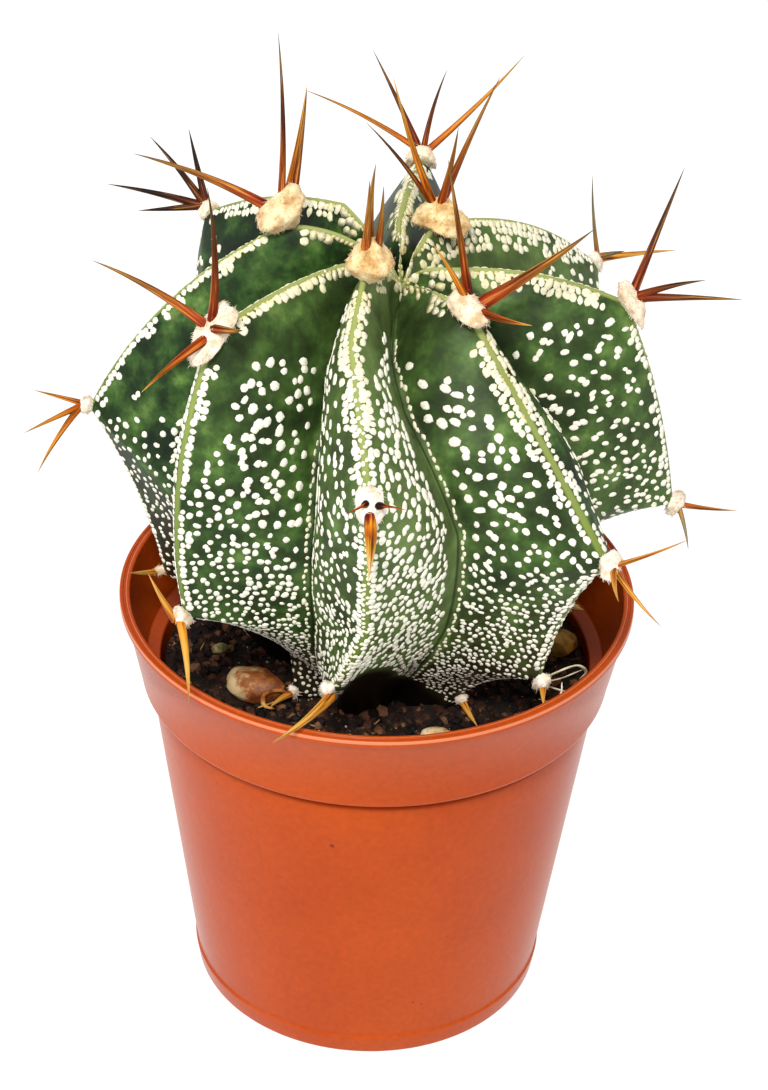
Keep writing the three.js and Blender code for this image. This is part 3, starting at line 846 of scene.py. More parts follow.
def crest_row(found, grid, first, last):
    """Small flecks on the ridge itself."""
    length = length_of(grid[:, 0])
    position = length * first
    while position < length * last:
        row = position / length * ROWS
        column = column_at(grid, row, fleck_luck.uniform(0.14, 0.3))
        try_fleck(found, grid, row, column, 0.42, 0.5, 1.1, tone=0.15,
                  turn=fleck_luck.uniform(-0.4, 0.4))
        position += fleck_luck.uniform(0.55, 0.9) * (1.5 if row < 0.42 * ROWS else 1)


def furrow_row(found, grid, plan, first, size, missing):
    """A line of drawn-out flecks close to the furrow."""
    row = ROWS * first
    while row < ROWS * 0.9:
        width = np.linalg.norm(grid[int(row)][-1] - grid[int(row)][0])
        column = column_at(grid, row, width - fleck_luck.uniform(0.25, 0.6) - size / 3)
        here = size - 0.15 * row / ROWS
        if fleck_luck.random() > missing:
            try_fleck(found, grid, row, column, 0.75 * here, here, plan["stretch"][1] + 0.4,
                      turn=fleck_luck.uniform(-0.2, 0.2), tone=0.3)
        row += fleck_luck.uniform(1.3, 2.4)


print("row makers ready")

# %% Scattered flecks
# The share of flecks that get a second one fused on.
FUSED = 0.55


def fill(found, grid, plan, tries):
    """Random flecks over the rest of the flank, closer and smaller towards the soil."""
    area = np.linalg.norm(np.cross(
        grid[1:, 1:] - grid[:-1, :-1], grid[1:, :-1] - grid[:-1, 1:]), axis=2).ravel()
    cells = fleck_luck.choices(range(len(area)), weights=area, k=tries)
    for cell in cells:
        row = cell // (len(SHARES) - 1) + fleck_luck.random()
        column = cell % (len(SHARES) - 1) + fleck_luck.random()
        spot, _, _ = on_flank(grid, row, column)
        share, across = row / ROWS, float(np.interp(column, range(len(SHARES)), SHARES))
        start = float(np.interp(across, ACROSS, plan["start"]))
        if share < start + 0.06 * noise.noise(Vector(spot) / 3.5):
            continue
        gap, size = (float(np.interp(share, PLAN_DOWN, plan[key])) for key in ("gap", "size"))
        gap *= 1 + 0.42 * noise.noise(Vector(spot) / 2.2 + Vector((9, 0, 0)))
        stretch = plan["stretch"][0] + (plan["stretch"][1] - plan["stretch"][0]) * across
        turn = plan["turn"] + fleck_luck.uniform(-0.5, 0.5)
        size *= fleck_luck.uniform(0.85, 1.15)
        if try_fleck(found, grid, row, column, gap, size, stretch, turn=turn) is not None:
            if share < 0.8 and fleck_luck.random() < FUSED:
                step = fleck_luck.choice((-1, 1))
                try_fleck(found, grid, row + step * fleck_luck.uniform(0.5, 1.8),
                          column + fleck_luck.uniform(-0.4, 0.4), 0.58 * size, size * 0.92,
                          stretch, turn=turn)


print("share of fused flecks:", FUSED)

# %% [markdown]
# Each rib's flecks become one object. Their material is dry wool: chalky white with no shine, a
# little yellower near the crown, where it is young.

# %% Fleck material
look = Look("trichome_wool", Roughness=0.95, IOR=1.4)
creams = look.ramp(look.kept("tone"), (0.0, "#f3f1e0"), (1.0, "#ddd392"))
shades = look.ramp(look.noise(2600, 2), (0.3, 0.75), (0.6, 1.0))
wool_white = look.finish(look.mix(1.0, creams, shades, "MULTIPLY"))
print("fleck material:", wool_white.name)

# %% Fleck objects
# How far down the cord is piped, and how many places are tried on each flank.
PIPED_TO, TRIES = 0.3, 9000
total = 0
for index, name in enumerate(NAMES):
    found = []
    for side in (-1, 1):
        grid = flanks[index, side]
        plan = PLANS.get((name, side), PLAIN)
        last_share = ENDS.get((name, side), USUAL_END)
        edge_rows(found, grid, name)
        piping(found, grid, PIPED_TO)
        if name in CREST_ROWS:
            crest_row(found, grid, *CREST_ROWS[name])
        if (name, side) in FURROW_LINE:
            furrow_row(found, grid, plan, FURROW_LINE[name, side], 0.6, 0.1)
        furrow_row(found, grid, plan, plan["start"][-1], 0.8, 0.3)
        fill(found, grid, plan, TRIES)
    kinds = [
        stamp(kind, f"flecks_{name}_{number}", [m for m, _ in found[number::FLECK_KINDS]],
              tone=[t for _, t in found[number::FLECK_KINDS]])
        for number, kind in enumerate(fleck_kinds)
    ]
    flecks = joined("flecks_" + name, kinds)
    flecks.data.materials.append(wool_white)
    hand_over(flecks, "areole_wool")
    total += len(found)
for kind in fleck_kinds:
    bpy.data.objects.remove(kind)
print(total, "flecks")

# %% [markdown]
# ## Felt pads
# An areole's felt is a cushion of short hairs, matted together. A cushion alone would look like
# plaster, and hairs alone would show gaps, so each pad is both: a UV sphere flattened to the pad's
# size and made lumpy by noise, and a coat of short bent hairs stamped all over it. One hair is a
# three-sided cone, cut twice along its length and curved over.

# %% One felt hair
hair = begin(bpy.ops.mesh.primitive_cone_add, "hair_template",
             vertices=3, radius1=0.5, radius2=0.12, depth=1, location=(0, 0, 0.5))
bpy.ops.object.transform_apply(location=True)
cut_across(0.35, 0.7)
for vertex in hair.data.vertices:
    vertex.co.x += 3.0 * vertex.co.z ** 2
print("one hair:", len(hair.data.polygons), "faces")

# %% Felt material
look = Look("areole_felt", Roughness=1.0, IOR=1.35, Specular_IOR_Level=0.2, Sheen_Weight=0.2)
patches = look.noise(800, 4)
felt = look.finish(look.mix(
    look.kept("tone"),
    look.ramp(patches, (0.32, "#cdb89c"), (0.46, "#e8dccb"), (0.6, "#f4eee3")),
    look.ramp(patches, (0.34, "#bd935b"), (0.49, "#dcbc84"), (0.64, "#ead6a8")),
))
print("felt material:", felt.name)

# %% [markdown]
# No two areoles grew alike. The next table holds what each does differently. For its pad: how
# young the felt is, how far it spreads and how much it is puffed up, how far it stands off the
# ridge or grew off centre in mm, how many degrees it leans, how far it runs on down the ridge as
# a share of its half length, and how closely it hugs the ridge. For its spines: the age of each
# one's horn, how stout each is, how long they are beside the solid model's, and where their roots
# stand: how far off the ridge, how far apart, and how far each is to the right of its place and
# above it, in mm. One age or stoutness serves the rest of a cluster.

# %% Habits of the areoles
USUAL = dict(young=0.1, spread=(1, 1), puff=1.0, lift=0.35, shift=(0, 0, 0), lean=0, tail=0.0,
             hug=0.32, ages=("straw",), stout=(1.0,), reach=1, root_lift=1.0, root_spread=0.6,
             root_shifts=((0, 0),) * 4)
HABITS = {
    "front_1": dict(young=1.0, spread=(0.88, 0.72), shift=(0.45, 0, 0.55), lift=1.3,
                    ages=("fresh",), stout=(1.15, 1.2, 1.05), reach=1.12, root_lift=1.7,
                    root_spread=1.1, root_shifts=((0.5, 0), (-0.1, 0), (0.85, 0))),
    "front_2": dict(young=0.0, spread=(0.95, 0.72), puff=1.2, shift=(0, 0, 0.1),
                    ages=("bleached", "broken"), stout=(1.08, 1.0), root_lift=1.35,
                    root_spread=0.85, root_shifts=((0, 0), (0.45, 0.28), (0.08, 0.62))),
    "front_3": dict(spread=(0.8, 0.6), shift=(-0.5, 0, 0.6), stout=(1.25,)),
    "front_right_1": dict(young=0.45, spread=(0.6, 0.62), shift=(-0.4, 0, 0), lift=0.6, tail=0.15,
                          ages=("fresh", "amber", "fresh", "tipped"), stout=(1.0, 1.0, 1.5, 1.1),
                          root_spread=0.9, root_shifts=((0, 0), (0.3, -0.5), (0, 0), (0, 0))),
    "front_right_2": dict(stout=(0.6, 0.75, 0.9)),
    "front_right_3": dict(spread=(0.75, 0.7)),
    "front_right_4": dict(spread=(0.6, 0.55), puff=0.7),
    "right_1": dict(young=0.35, spread=(0.66, 0.8), lean=18, tail=0.55, ages=("russet",)),
    "right_2": dict(ages=("amber", "grey"), stout=(0.75, 0.7)),
    "right_3": dict(spread=(0.7, 0.7), reach=0.3),
    "back_right_1": dict(young=1.0, spread=(0.92, 0.9), shift=(0.5, 0, 0), lift=0.3,
                         ages=("russet", "amber", "fresh"), stout=(0.7, 1.0, 1.0, 0.95),
                         root_lift=1.4),
    "back_right_2": dict(spread=(0.6, 0.55), lift=0.1, tail=0.5, hug=0.6,
                         ages=("grey", "straw", "grey"), stout=(0.6, 0.9, 0.8)),
    "back_1": dict(young=0.5, spread=(0.85, 0.75), lift=0.1, hug=0.6,
                   ages=("amber", "russet", "russet", "amber"), stout=(0.7, 0.8, 0.75, 0.8)),
    "back_left_1": dict(young=0.4, spread=(0.65, 0.7), lift=0.1, hug=0.6, ages=("dark",)),
    "left_1": dict(young=0.85, spread=(1.02, 0.7), puff=0.88, shift=(0.25, 0, 0.7), lift=1.1,
                   lean=24, tail=0.15, ages=("russet", "amber", "russet", "fresh"),
                   stout=(0.82, 0.7, 0.82, 1.15), root_lift=1.7, root_spread=1.2,
                   root_shifts=((-0.35, 0), (-0.3, 0), (0.6, 0), (0, 0))),
    "left_2": dict(spread=(0.65, 0.65), ages=("amber",), stout=(0.75, 0.8, 0.85)),
    "left_3": dict(young=0.5, spread=(0.38, 0.42), stout=(0.9,)),
    "front_left_1": dict(young=0.25, spread=(0.87, 0.82), tail=0.35,
                         ages=("fresh", "russet", "tipped", "fresh"), stout=(1.08, 1.0, 1.2, 1.2),
                         root_shifts=((0, 0), (0.1, 0.3), (0.3, -0.55), (0, 0))),
    "front_left_2": dict(spread=(0.85, 0.8), hug=0.5),
    "front_left_3": dict(spread=(0.55, 0.6), puff=0.7, lift=0.1),
}


def habits_of(name):
    return SimpleNamespace(**{**USUAL, **HABITS.get(name, {})})


def nth(values, i):
    """A value of a short list, whose last one serves all that follow."""
    return values[min(i, len(values) - 1)]


print(len(HABITS), "areoles have habits of their own")

# %% Felt pads
HAIRS_PER_MM2 = 22
PAD_GROWTH = 1.16
# How deep a pad's underside is beside its top, at least, and how far it sinks into the ridge in mm.
UNDERSIDE, SINK = 0.35, 0.7
# Pads that stand high narrow to a stalk by this share.
STALK = 0.45
felt_luck = random.Random(5)


def random_way():
    return Vector([felt_luck.gauss(0, 1) for _ in range(3)])


def felt_pad(name, at, out, along, side, size, spines):
    """A lumpy cushion in place, raised round the spines' roots, with its coat of hairs."""
    habits = habits_of(name)
    pad = begin(bpy.ops.mesh.primitive_uv_sphere_add, "felt_" + name,
                segments=32, ring_count=22, radius=1)
    length, width, thickness = (v / 2 * PAD_GROWTH for v in size)
    length, width = (v * w for v, w in zip((length, width), habits.spread))
    thickness *= habits.puff
    lean = math.radians(habits.lean)
    along, out = (along * math.cos(lean) - out * math.sin(lean),
                  out * math.cos(lean) + along * math.sin(lean))
    shift = Vector(habits.shift)
    seat = at + out * habits.lift + shift
    below = max(UNDERSIDE, (habits.lift + shift.dot(out) + SINK) / thickness)
    stalk = STALK if below > 0.5 else 0.0
    ways = [direction(bearing, rise) for _, bearing, rise in spines]
    roots = [Vector((w.dot(along), w.dot(side), max(w.dot(out), 0) + 0.3)).normalized()
             for w in ways]

    def skin_at(unit):
        """The pad's surface in mm, where a unit sphere has this point."""
        lump = 1 + 0.16 * noise.noise(unit * 1.7 + at) + 0.09 * noise.noise(unit * 4.5 + at)
        lump += sum(0.2 * math.exp(-((unit - root).length / 0.4) ** 2) for root in roots)
        flat = math.hypot(unit.x, unit.y)
        square = flat / max((abs(unit.x) ** 3 + abs(unit.y) ** 3) ** (1 / 3), 1e-6)
        run = max(unit.x, 0)
        narrow = 1 - 0.55 * run * run * min(habits.tail, 1)
        drawn_in = square * lump * (1 - stalk * max(-unit.z, 0))
        x = unit.x * length * drawn_in * (1 + habits.tail * run)
        y = unit.y * width * drawn_in * narrow
        height = unit.z * thickness * lump * narrow * (1 if unit.z > 0 else below)
        drape = -habits.hug * (math.sqrt(y * y + 0.25) - 0.5) - max(x, 0) ** 2 / 42
        return seat + along * x + side * y + out * (height + drape)

    for vertex in pad.data.vertices:
        vertex.co = skin_at(vertex.co.copy()) * MM
    places = []
    for _ in range(int(HAIRS_PER_MM2 * math.pi * 2 * length * width) + 60):
        unit = random_way().normalized()
        unit.z = abs(unit.z) * (1.1 + stalk) - 0.1 - stalk
        unit.normalize()
        outward = along * unit.x / length + side * unit.y / width + out * unit.z / thickness
        bend = random_way()
        way = (outward.normalized() + bend * 0.7).normalized()
        reach = felt_luck.uniform(0.16, 0.36) * (1.8 if felt_luck.random() < 0.06 else 1)
        thick = felt_luck.uniform(0.07, 0.12)
        places.append(placing(skin_at(unit) - outward.normalized() * 0.06, way, bend + along,
                              (thick * MM, thick * MM, reach * MM)))
    pad = joined(pad.name, [pad, stamp(hair, "coat", places)])
    pad.data.attributes.new("tone", "FLOAT", "POINT").data.foreach_set(
        "value", [habits.young] * len(pad.data.vertices))
    pad.data.materials.append(felt)
    return hand_over(pad, "areole_wool", "wool_" + name)


pads = [felt_pad(f"{rib}_{count}", *frame_here, size, spines)
        for rib, count, frame_here, size, spines in areoles]
bpy.data.objects.remove(hair)
print(len(pads), "felt pads,", sum(len(p.data.polygons) for p in pads), "faces")

# %% [markdown]
# ## Spines
# A spine is horn: stiff, smooth and a little translucent, thick at the root and drawn out to a
# needle point, never quite straight. One spine is a tall cone, cut across into rings so that it
# can bend, with its rings scaled to a fuller root and a finer tip. It is copied for each spine,
# and each copy is bent by its own amount. Its share of the length is kept on the points, because
# the colour runs from root to tip.

# %% One spine
SPINE_SIDES, SPINE_CUTS = 10, 14
needle = begin(bpy.ops.mesh.primitive_cone_add, "spine_template", vertices=SPINE_SIDES,
               radius1=1, radius2=0.02, depth=1, location=(0, 0, 0.5))
bpy.ops.object.transform_apply(location=True)
cut_across(*[(cut / SPINE_CUTS) ** 1.4 for cut in range(1, SPINE_CUTS)])
for vertex in needle.data.vertices:
    t = vertex.co.z
    full = (1 - t) ** 0.8
    vertex.co.xy *= max(full, 0.03) / max(1 - 0.98 * t, 0.02)
print("one spine:", len(needle.data.polygons), "faces")

# %% Horn materials
# Horn ages from root to tip: fresh red-brown, russet, dried almost black, amber, bleached straw,
# a stout one with a yellow tip, an old broken root, one bleached from its tip down, and weathered
# grey.
HORNS = {
    "fresh": [(0, "#6e1a02"), (0.14, "#8a3008"), (0.4, "#82430e"), (0.72, "#8a5c1e"),
              (1, "#55401f")],
    "russet": [(0, "#7c2404"), (0.22, "#6c2a08"), (0.55, "#52280a"), (0.85, "#4a3012"),
               (1, "#2c1a0a")],
    "dark": [(0, "#6c3009"), (0.16, "#451b08"), (0.5, "#230e06"), (1, "#120804")],
    "amber": [(0, "#98410a"), (0.2, "#a8560b"), (0.6, "#b2701c"), (1, "#ba8b40")],
    "straw": [(0, "#b5651a"), (0.2, "#c37f26"), (0.6, "#cc9846"), (1, "#bb8c48")],
    "tipped": [(0, "#862c03"), (0.45, "#98420a"), (0.75, "#b86c18"), (1, "#d2a347")],
    "broken": [(0, "#200c05"), (0.2, "#2a0f06"), (0.3, "#a2480d"), (1, "#a83c12")],
    "bleached": [(0, "#48140a"), (0.14, "#862808"), (0.24, "#c97a12"), (0.38, "#a9520f"),
                 (0.55, "#c8922f"), (0.75, "#cfae6c"), (1, "#c4b184")],
    "grey": [(0, "#a35e1c"), (0.2, "#93713c"), (0.5, "#7d7558"), (1, "#56544c")],
}


def horn_material(name, stops):
    """Horn with fibres along the spine: dark and golden streaks, and a bump from the same. The
    golden streaks are golden fibre and partly a painted highlight.
    """
    look = Look("spine_horn_" + name, Roughness=0.42, IOR=1.5, Specular_IOR_Level=0.12)
    streak = look.noise(1.6, 3, 0.6, at=look.kept("fibre", "Vector"))
    moved = look.maths("ADD", look.kept("along"), look.remap(streak, 0, 1, -0.2, 0.2))
    colour = look.mix(0.85, look.ramp(moved, *stops), look.remap(streak, 0.34, 0.68), "OVERLAY")
    # Golden streaks: golden fibre in the horn, and partly a painted highlight along it.
    colour = look.mix(look.remap(streak, 0.57, 0.67, 0, 0.65), colour, "#c58a3c")
    return look.finish(colour, streak, 0.15, 0.00008)


horns = {name: horn_material(name, stops) for name, stops in HORNS.items()}
print(len(horns), "horn materials")

# %% Spine clusters
SPINE_RADIUS = 0.52
THIN_SHARE = 0.46
TIP_FOOT = 1.0
bend_luck = random.Random(8)


def grow_spine(tip, foot, stout, age):
    """A bent copy of the template from a foot inside the felt to its tip."""
    axis = tip - foot
    bend = axis.orthogonal().normalized()
    bend.rotate(Quaternion(axis.normalized(), bend_luck.uniform(0, 2 * math.pi)))
    bend *= axis.length * bend_luck.uniform(0.015, 0.045)
    x = axis.orthogonal().normalized()
    y = axis.normalized().cross(x)
    thick = SPINE_RADIUS * min(1, 0.76 + axis.length / 50) * stout
    copy = bpy.data.objects.new("spine", needle.data.copy())
    bpy.context.scene.collection.objects.link(copy)
    shares, fibres, shift = [], [], bend_luck.uniform(0, 50)
    for vertex in copy.data.vertices:
        t = vertex.co.z
        shares.append(t)
        round_way = vertex.co.xy.normalized()
        fibres.append((round_way.x + shift, round_way.y, t * axis.length / 9))
        spot = foot + axis * t + bend * 4 * t * (1 - t)
        # A broken spine thins above its first quarter, and a bleached one is thick half way up.
        worn = 1.0
        if age == "broken":
            worn = THIN_SHARE + (0.95 - THIN_SHARE) * math.exp(-((t / 0.24) ** 6))
        elif age == "bleached":
            worn = 0.85 + 3.4 * t * (1 - t)
        vertex.co = (spot + (x * vertex.co.x + y * vertex.co.y) * thick * worn) * MM
    copy.data.attributes.new("along", "FLOAT", "POINT").data.foreach_set("value", shares)
    kept = copy.data.attributes.new("fibre", "FLOAT_VECTOR", "POINT")
    kept.data.foreach_set("vector", np.array(fibres).ravel())
    copy.data.materials.append(horns[age])
    return copy


def spine_cluster(name, at, out, spines):
    habits = habits_of(name)
    grown = []
    for i, (length, bearing, rise) in enumerate(spines):
        way = direction(bearing, rise)
        tip = at + out * TIP_FOOT + way * length * habits.reach
        sideways = way - out * way.dot(out)
        right, up = habits.root_shifts[i]
        foot = (at + out * habits.root_lift + sideways * habits.root_spread - way * 0.4
                + Vector((right, 0, up)))
        grown.append(grow_spine(tip, foot, nth(habits.stout, i), nth(habits.ages, i)))
    return hand_over(joined("thorns_" + name, grown), "spine_horn", "spines_" + name)


clusters = [spine_cluster(f"{rib}_{count}", at, out, spines)
            for rib, count, (at, out, _, _), _, spines in areoles]
bpy.data.objects.remove(needle)
print(len(clusters), "spine clusters")

# %% [markdown]
# ## Dry husks
# Two of the lowest areoles still hold the dried remains of a flower: papery strands, curled up. One
# strand is a thin cylinder, cut into rings, flattened and laid along a curve.

# %% Husks
HUSK_CUTS = 24
# The way of each strand in mm, its width, and how much of its width its thickness is.
STRANDS = [
    ([(17.0, -15.9, 49.0), (18.8, -15.2, 49.7), (21.0, -14.2, 49.9), (21.9, -13.8, 48.8),
      (21.2, -13.5, 47.6)], 0.42, 0.3),
    ([(17.2, -15.6, 48.6), (19.2, -14.8, 48.6), (20.6, -14.2, 48.9), (21.4, -14.4, 49.5)],
     0.3, 0.4),
    ([(16.9, -17.9, 48.2), (18.3, -17.5, 47.6), (19.2, -16.9, 48.2), (19.3, -16.2, 49.2)],
     0.26, 0.5),
    ([(17.3, -15.4, 48.4), (18.6, -14.6, 47.2), (20.0, -14.6, 46.8)], 0.3, 0.4),
]
BROWN_STRANDS = [
    ([(-8.6, -9.2, 41.4), (-10.2, -9.4, 42.0), (-11.6, -9.8, 41.6), (-11.5, -10.6, 40.8),
      (-10.4, -10.8, 40.6)], 0.6, 0.6),
    ([(-8.8, -9.0, 40.9), (-10.4, -9.6, 40.6), (-12.2, -10.8, 40.7)], 0.4, 0.6),
]
straw_piece = begin(bpy.ops.mesh.primitive_cylinder_add, "straw",
                    vertices=6, radius=0.5, depth=1, location=(0, 0, 0.5))
bpy.ops.object.transform_apply(location=True)
cut_across(*[cut / HUSK_CUTS for cut in range(1, HUSK_CUTS)])


def strand(points, width, flat):
    """A copy of the straw laid along a smooth curve, thinner towards both ends."""
    curve = along_line(smooth_line(points), np.linspace(0, 1, HUSK_CUTS + 1))
    ways = np.gradient(curve, axis=0)
    copy = bpy.data.objects.new("strand", straw_piece.data.copy())
    bpy.context.scene.collection.objects.link(copy)
    for vertex in copy.data.vertices:
        t = vertex.co.z
        place = round(t * HUSK_CUTS)
        way = Vector(ways[place]).normalized()
        side = way.cross(Vector((0.3 * math.sin(5 * t), 1, 0.4))).normalized()
        up = side.cross(way)
        thick = width * (1 - 0.75 * (2 * t - 1) ** 4)
        vertex.co = (Vector(curve[place]) + side * vertex.co.x * thick
                     + up * vertex.co.y * thick * flat) * MM
    return copy


def husk(name, strands, codes):
    made = joined(name, [strand(*facts) for facts in strands])
    look = Look(name + "_paper", Roughness=0.75, IOR=1.4)
    colour = look.ramp(look.noise(700, 3), *zip((0.36, 0.5, 0.64), codes))
    made.data.materials.append(look.finish(colour))
    return hand_over(made, "spine_horn")


husk("pale_husk", STRANDS, ("#8a7f68", "#c9bea0", "#e6dfca"))
husk("brown_husk", BROWN_STRANDS, ("#5a2a0c", "#a8621c", "#d3a458"))
bpy.data.objects.remove(straw_piece)
print("husks:", len(STRANDS) + len(BROWN_STRANDS), "strands")

# %% [markdown]
# ## The pot
# The pot is thermoformed polypropylene: one thin sheet drawn into a tapering cup, with a deep
# collar and a rolled rim for stiffness. It is turned by hand from a circle: its face is extruded
# and scaled up the outside, over the rim and down the inside to the floor, so the wall is closed
# all the way.

# %% Pot outline
POT_HEIGHT, RIM_RADIUS, BASE_RADIUS = 49.3, 27.5, 19.3
LEDGE_HEIGHT, LEDGE_RADIUS, BODY_TOP_RADIUS = 38.9, 25.3, 24.0
COLLAR_TOP_RADIUS, LIP_DROP, WALL, FLOOR = 27.05, 0.85, 0.8, 1.2
FOOT_HEIGHT, FOOT_STEP = 2.4, 0.16
POT_SIDES = 160


def arc(centre, radius, first, last, steps):
    """Points of an arc in the outline, as radius and height."""
    turns = [math.radians(first + (last - first) * i / steps) for i in range(steps + 1)]
    return [(centre[0] + radius * math.cos(a), centre[1] + radius * math.sin(a)) for a in turns]


# From the foot up the outside, over the rim and down the inside.
outline = [
    *arc((BASE_RADIUS - 0.5, 0.5), 0.5, -90, -8, 4),
    (BASE_RADIUS + 0.3, FOOT_HEIGHT),
    (BASE_RADIUS + 0.3 - FOOT_STEP, FOOT_HEIGHT + 0.25),
    (BODY_TOP_RADIUS - 0.25, LEDGE_HEIGHT - 4),
    *arc((BODY_TOP_RADIUS - 0.45, LEDGE_HEIGHT - 1.3), 0.42, -4, 82, 5),
    (BODY_TOP_RADIUS - 0.48, LEDGE_HEIGHT - 0.82),
    (BODY_TOP_RADIUS - 0.5, LEDGE_HEIGHT - 0.1),
    (BODY_TOP_RADIUS + 0.1, LEDGE_HEIGHT),
    *arc((LEDGE_RADIUS - 0.8, LEDGE_HEIGHT + 0.8), 0.8, -90, 4, 8),
    (COLLAR_TOP_RADIUS - 0.02, POT_HEIGHT - LIP_DROP - 0.1),
    (COLLAR_TOP_RADIUS + 0.1, POT_HEIGHT - LIP_DROP + 0.02),
    *arc((RIM_RADIUS - 0.16, POT_HEIGHT - LIP_DROP + 0.16), 0.16, -70, 0, 3),
    *arc((RIM_RADIUS - 0.2, POT_HEIGHT - 0.2), 0.2, 0, 90, 5),
    (RIM_RADIUS - 0.36, POT_HEIGHT - 0.03), (RIM_RADIUS - 0.42, POT_HEIGHT - 0.12),
    (RIM_RADIUS - 0.56, POT_HEIGHT - 0.12), (RIM_RADIUS - 0.64, POT_HEIGHT - 0.02),
    *arc((RIM_RADIUS - 0.94, POT_HEIGHT - 0.2), 0.2, 86, 176, 4),
    (RIM_RADIUS - 1.3, POT_HEIGHT - 2.2),
    (LEDGE_RADIUS - WALL + 0.4, LEDGE_HEIGHT + 2.9),
    *arc((LEDGE_RADIUS - WALL - 0.1, LEDGE_HEIGHT + 2.4), 0.3, 10, -80, 3),
    *arc((BODY_TOP_RADIUS - WALL + 0.3, LEDGE_HEIGHT + 1.6), 0.3, 100, 180, 3),
    (BODY_TOP_RADIUS - WALL, LEDGE_HEIGHT + 1.1),
    (BODY_TOP_RADIUS - WALL - 0.3, LEDGE_HEIGHT - 3.5),
    (BASE_RADIUS - WALL, FLOOR + 0.5),
    (BASE_RADIUS - WALL - 0.5, FLOOR),
]
print("pot outline:", len(outline), "points")

# %% Turn the pot
def turned(name, outline, sides):
    """A closed shape made by extruding and scaling a circle's face along an outline."""
    radius, height = outline[0]
    made = begin(bpy.ops.mesh.primitive_circle_add, name, vertices=sides, radius=radius * MM,
                 fill_type="NGON", location=(0, 0, height * MM))
    bpy.ops.object.transform_apply(location=True)
    with edit_mode():
        bpy.ops.mesh.select_mode(type="FACE")
        bpy.ops.mesh.select_all(action="SELECT")
        for next_radius, next_height in outline[1:]:
            rise, grow = (next_height - height) * MM, next_radius / radius
            bpy.ops.mesh.extrude_region_move(TRANSFORM_OT_translate={"value": (0, 0, rise)})
            bpy.ops.transform.resize(value=(grow, grow, 1), center_override=(0, 0, 0))
            radius, height = next_radius, next_height
        bpy.ops.mesh.select_all(action="SELECT")
        bpy.ops.mesh.normals_make_consistent(inside=False)
    return made


pot = turned("nursery_pot", outline, POT_SIDES)
print("pot:", len(pot.data.polygons), "faces,", [round(v / MM, 1) for v in pot.dimensions])

# %% Drain holes
DRAIN_RADIUS, DRAIN_CIRCLE = 2.5, 12.0
cutter = only(*[begin(bpy.ops.mesh.primitive_cylinder_add, "drain_cutter", vertices=32,
                      radius=DRAIN_RADIUS * MM, depth=4 * FLOOR * MM,
                      location=direction(bearing) * DRAIN_CIRCLE * MM)
                for bearing in (45, 135, 225, 315)])
bpy.ops.object.join()
only(pot)
holes = pot.modifiers.new("drain holes", "BOOLEAN")
holes.operation, holes.solver, holes.object = "DIFFERENCE", "EXACT", cutter
bpy.ops.object.modifier_apply(modifier=holes.name)
bpy.data.objects.remove(cutter)
bpy.ops.object.shade_smooth_by_angle(angle=math.radians(35))
print("pot with drain holes:", len(pot.data.polygons), "faces")

# %% [markdown]
# ## The pot's finish
# Polypropylene comes off the mould satin-bright, with a waxy gloss. Its terracotta colour is mixed
# in, so it is even, but the thin drawn wall varies a little, and handling leaves fine scuffs and
# specks of soil. Two pale lines along the edges of the rim are painted highlights.

# %% Pot material
# The painted highlight lines along the rim: their radius and half their width, in mm.
RIM_HIGHLIGHT_LINES = ((RIM_RADIUS - 0.02, 0.03), (RIM_RADIUS - 0.74, 0.024))
look = Look("terracotta_polypropylene", Roughness=0.3, IOR=1.49, Specular_IOR_Level=0.15)
drawn, fine = look.noise(45, 3), look.noise(1500, 2)
colour = look.ramp(drawn, (0.3, "#a63d09"), (0.55, "#af440b"), (0.8, "#b74a0e"))
colour = look.mix(0.18, colour, fine, "OVERLAY")
speck_cells = look.node("TexVoronoi", {"Vector": look.spot, "Scale": 330, "Randomness": 1.0})
speck_reach = look.remap(look.noise(120, 1), 0.6, 0.78, 0, 0.14)
specks = look.maths("LESS_THAN", speck_cells, speck_reach)
colour = look.mix(look.maths("MULTIPLY", specks, 0.6), colour, "#4f1a0a")
x, y, z = look.node("SeparateXYZ", {"Vector": look.spot}).node.outputs
level = look.node("CombineXYZ", {"X": x, "Y": y})
reach = look.node("VectorMath", {0: level}, "Value", operation="LENGTH")
at_rim = look.maths("GREATER_THAN", z, (POT_HEIGHT - 0.4) * MM)
# Painted highlights: two thin pale lines along the rim's edges.
for radius, half in RIM_HIGHLIGHT_LINES:
    near = look.maths("ABSOLUTE", look.maths("ADD", reach, -radius * MM))
    line = look.remap(near, half * MM, half * 1.6 * MM, 0.55, 0)
    colour = look.mix(look.maths("MULTIPLY", line, at_rim), colour, "#e39a76")
scuffs = look.remap(drawn, 0, 1, 0.2, 0.34)
look.tree.links.new(scuffs, look.shader.inputs["Roughness"])
pot.data.materials.clear()
pot.data.materials.append(look.finish(colour, fine, 0.08, 0.00005))
hand_over(pot, "pot_plastic", "pot")
print("pot finish:", len(look.tree.nodes), "nodes")

# %% [markdown]
# ## The peat
# The soil is black peat, damp and crumbly. It fills the pot up to the inner ledge. The plug is
# extruded from a circle like the pot, and its top is inset ring by ring, so that there are enough
# points to heave it up and down with noise. Loose crumbs and a few fibres lie on top.

# %% Peat plug
PEAT_EDGE, PEAT_CROWN, PEAT_GAP = 39.6, 40.2, 0.35
PEAT_RADIUS, PEAT_RINGS = 23, 46
# The dip that the stem's neck stands in.
DIP_RADIUS, DIP_DEPTH = 7.5, 8


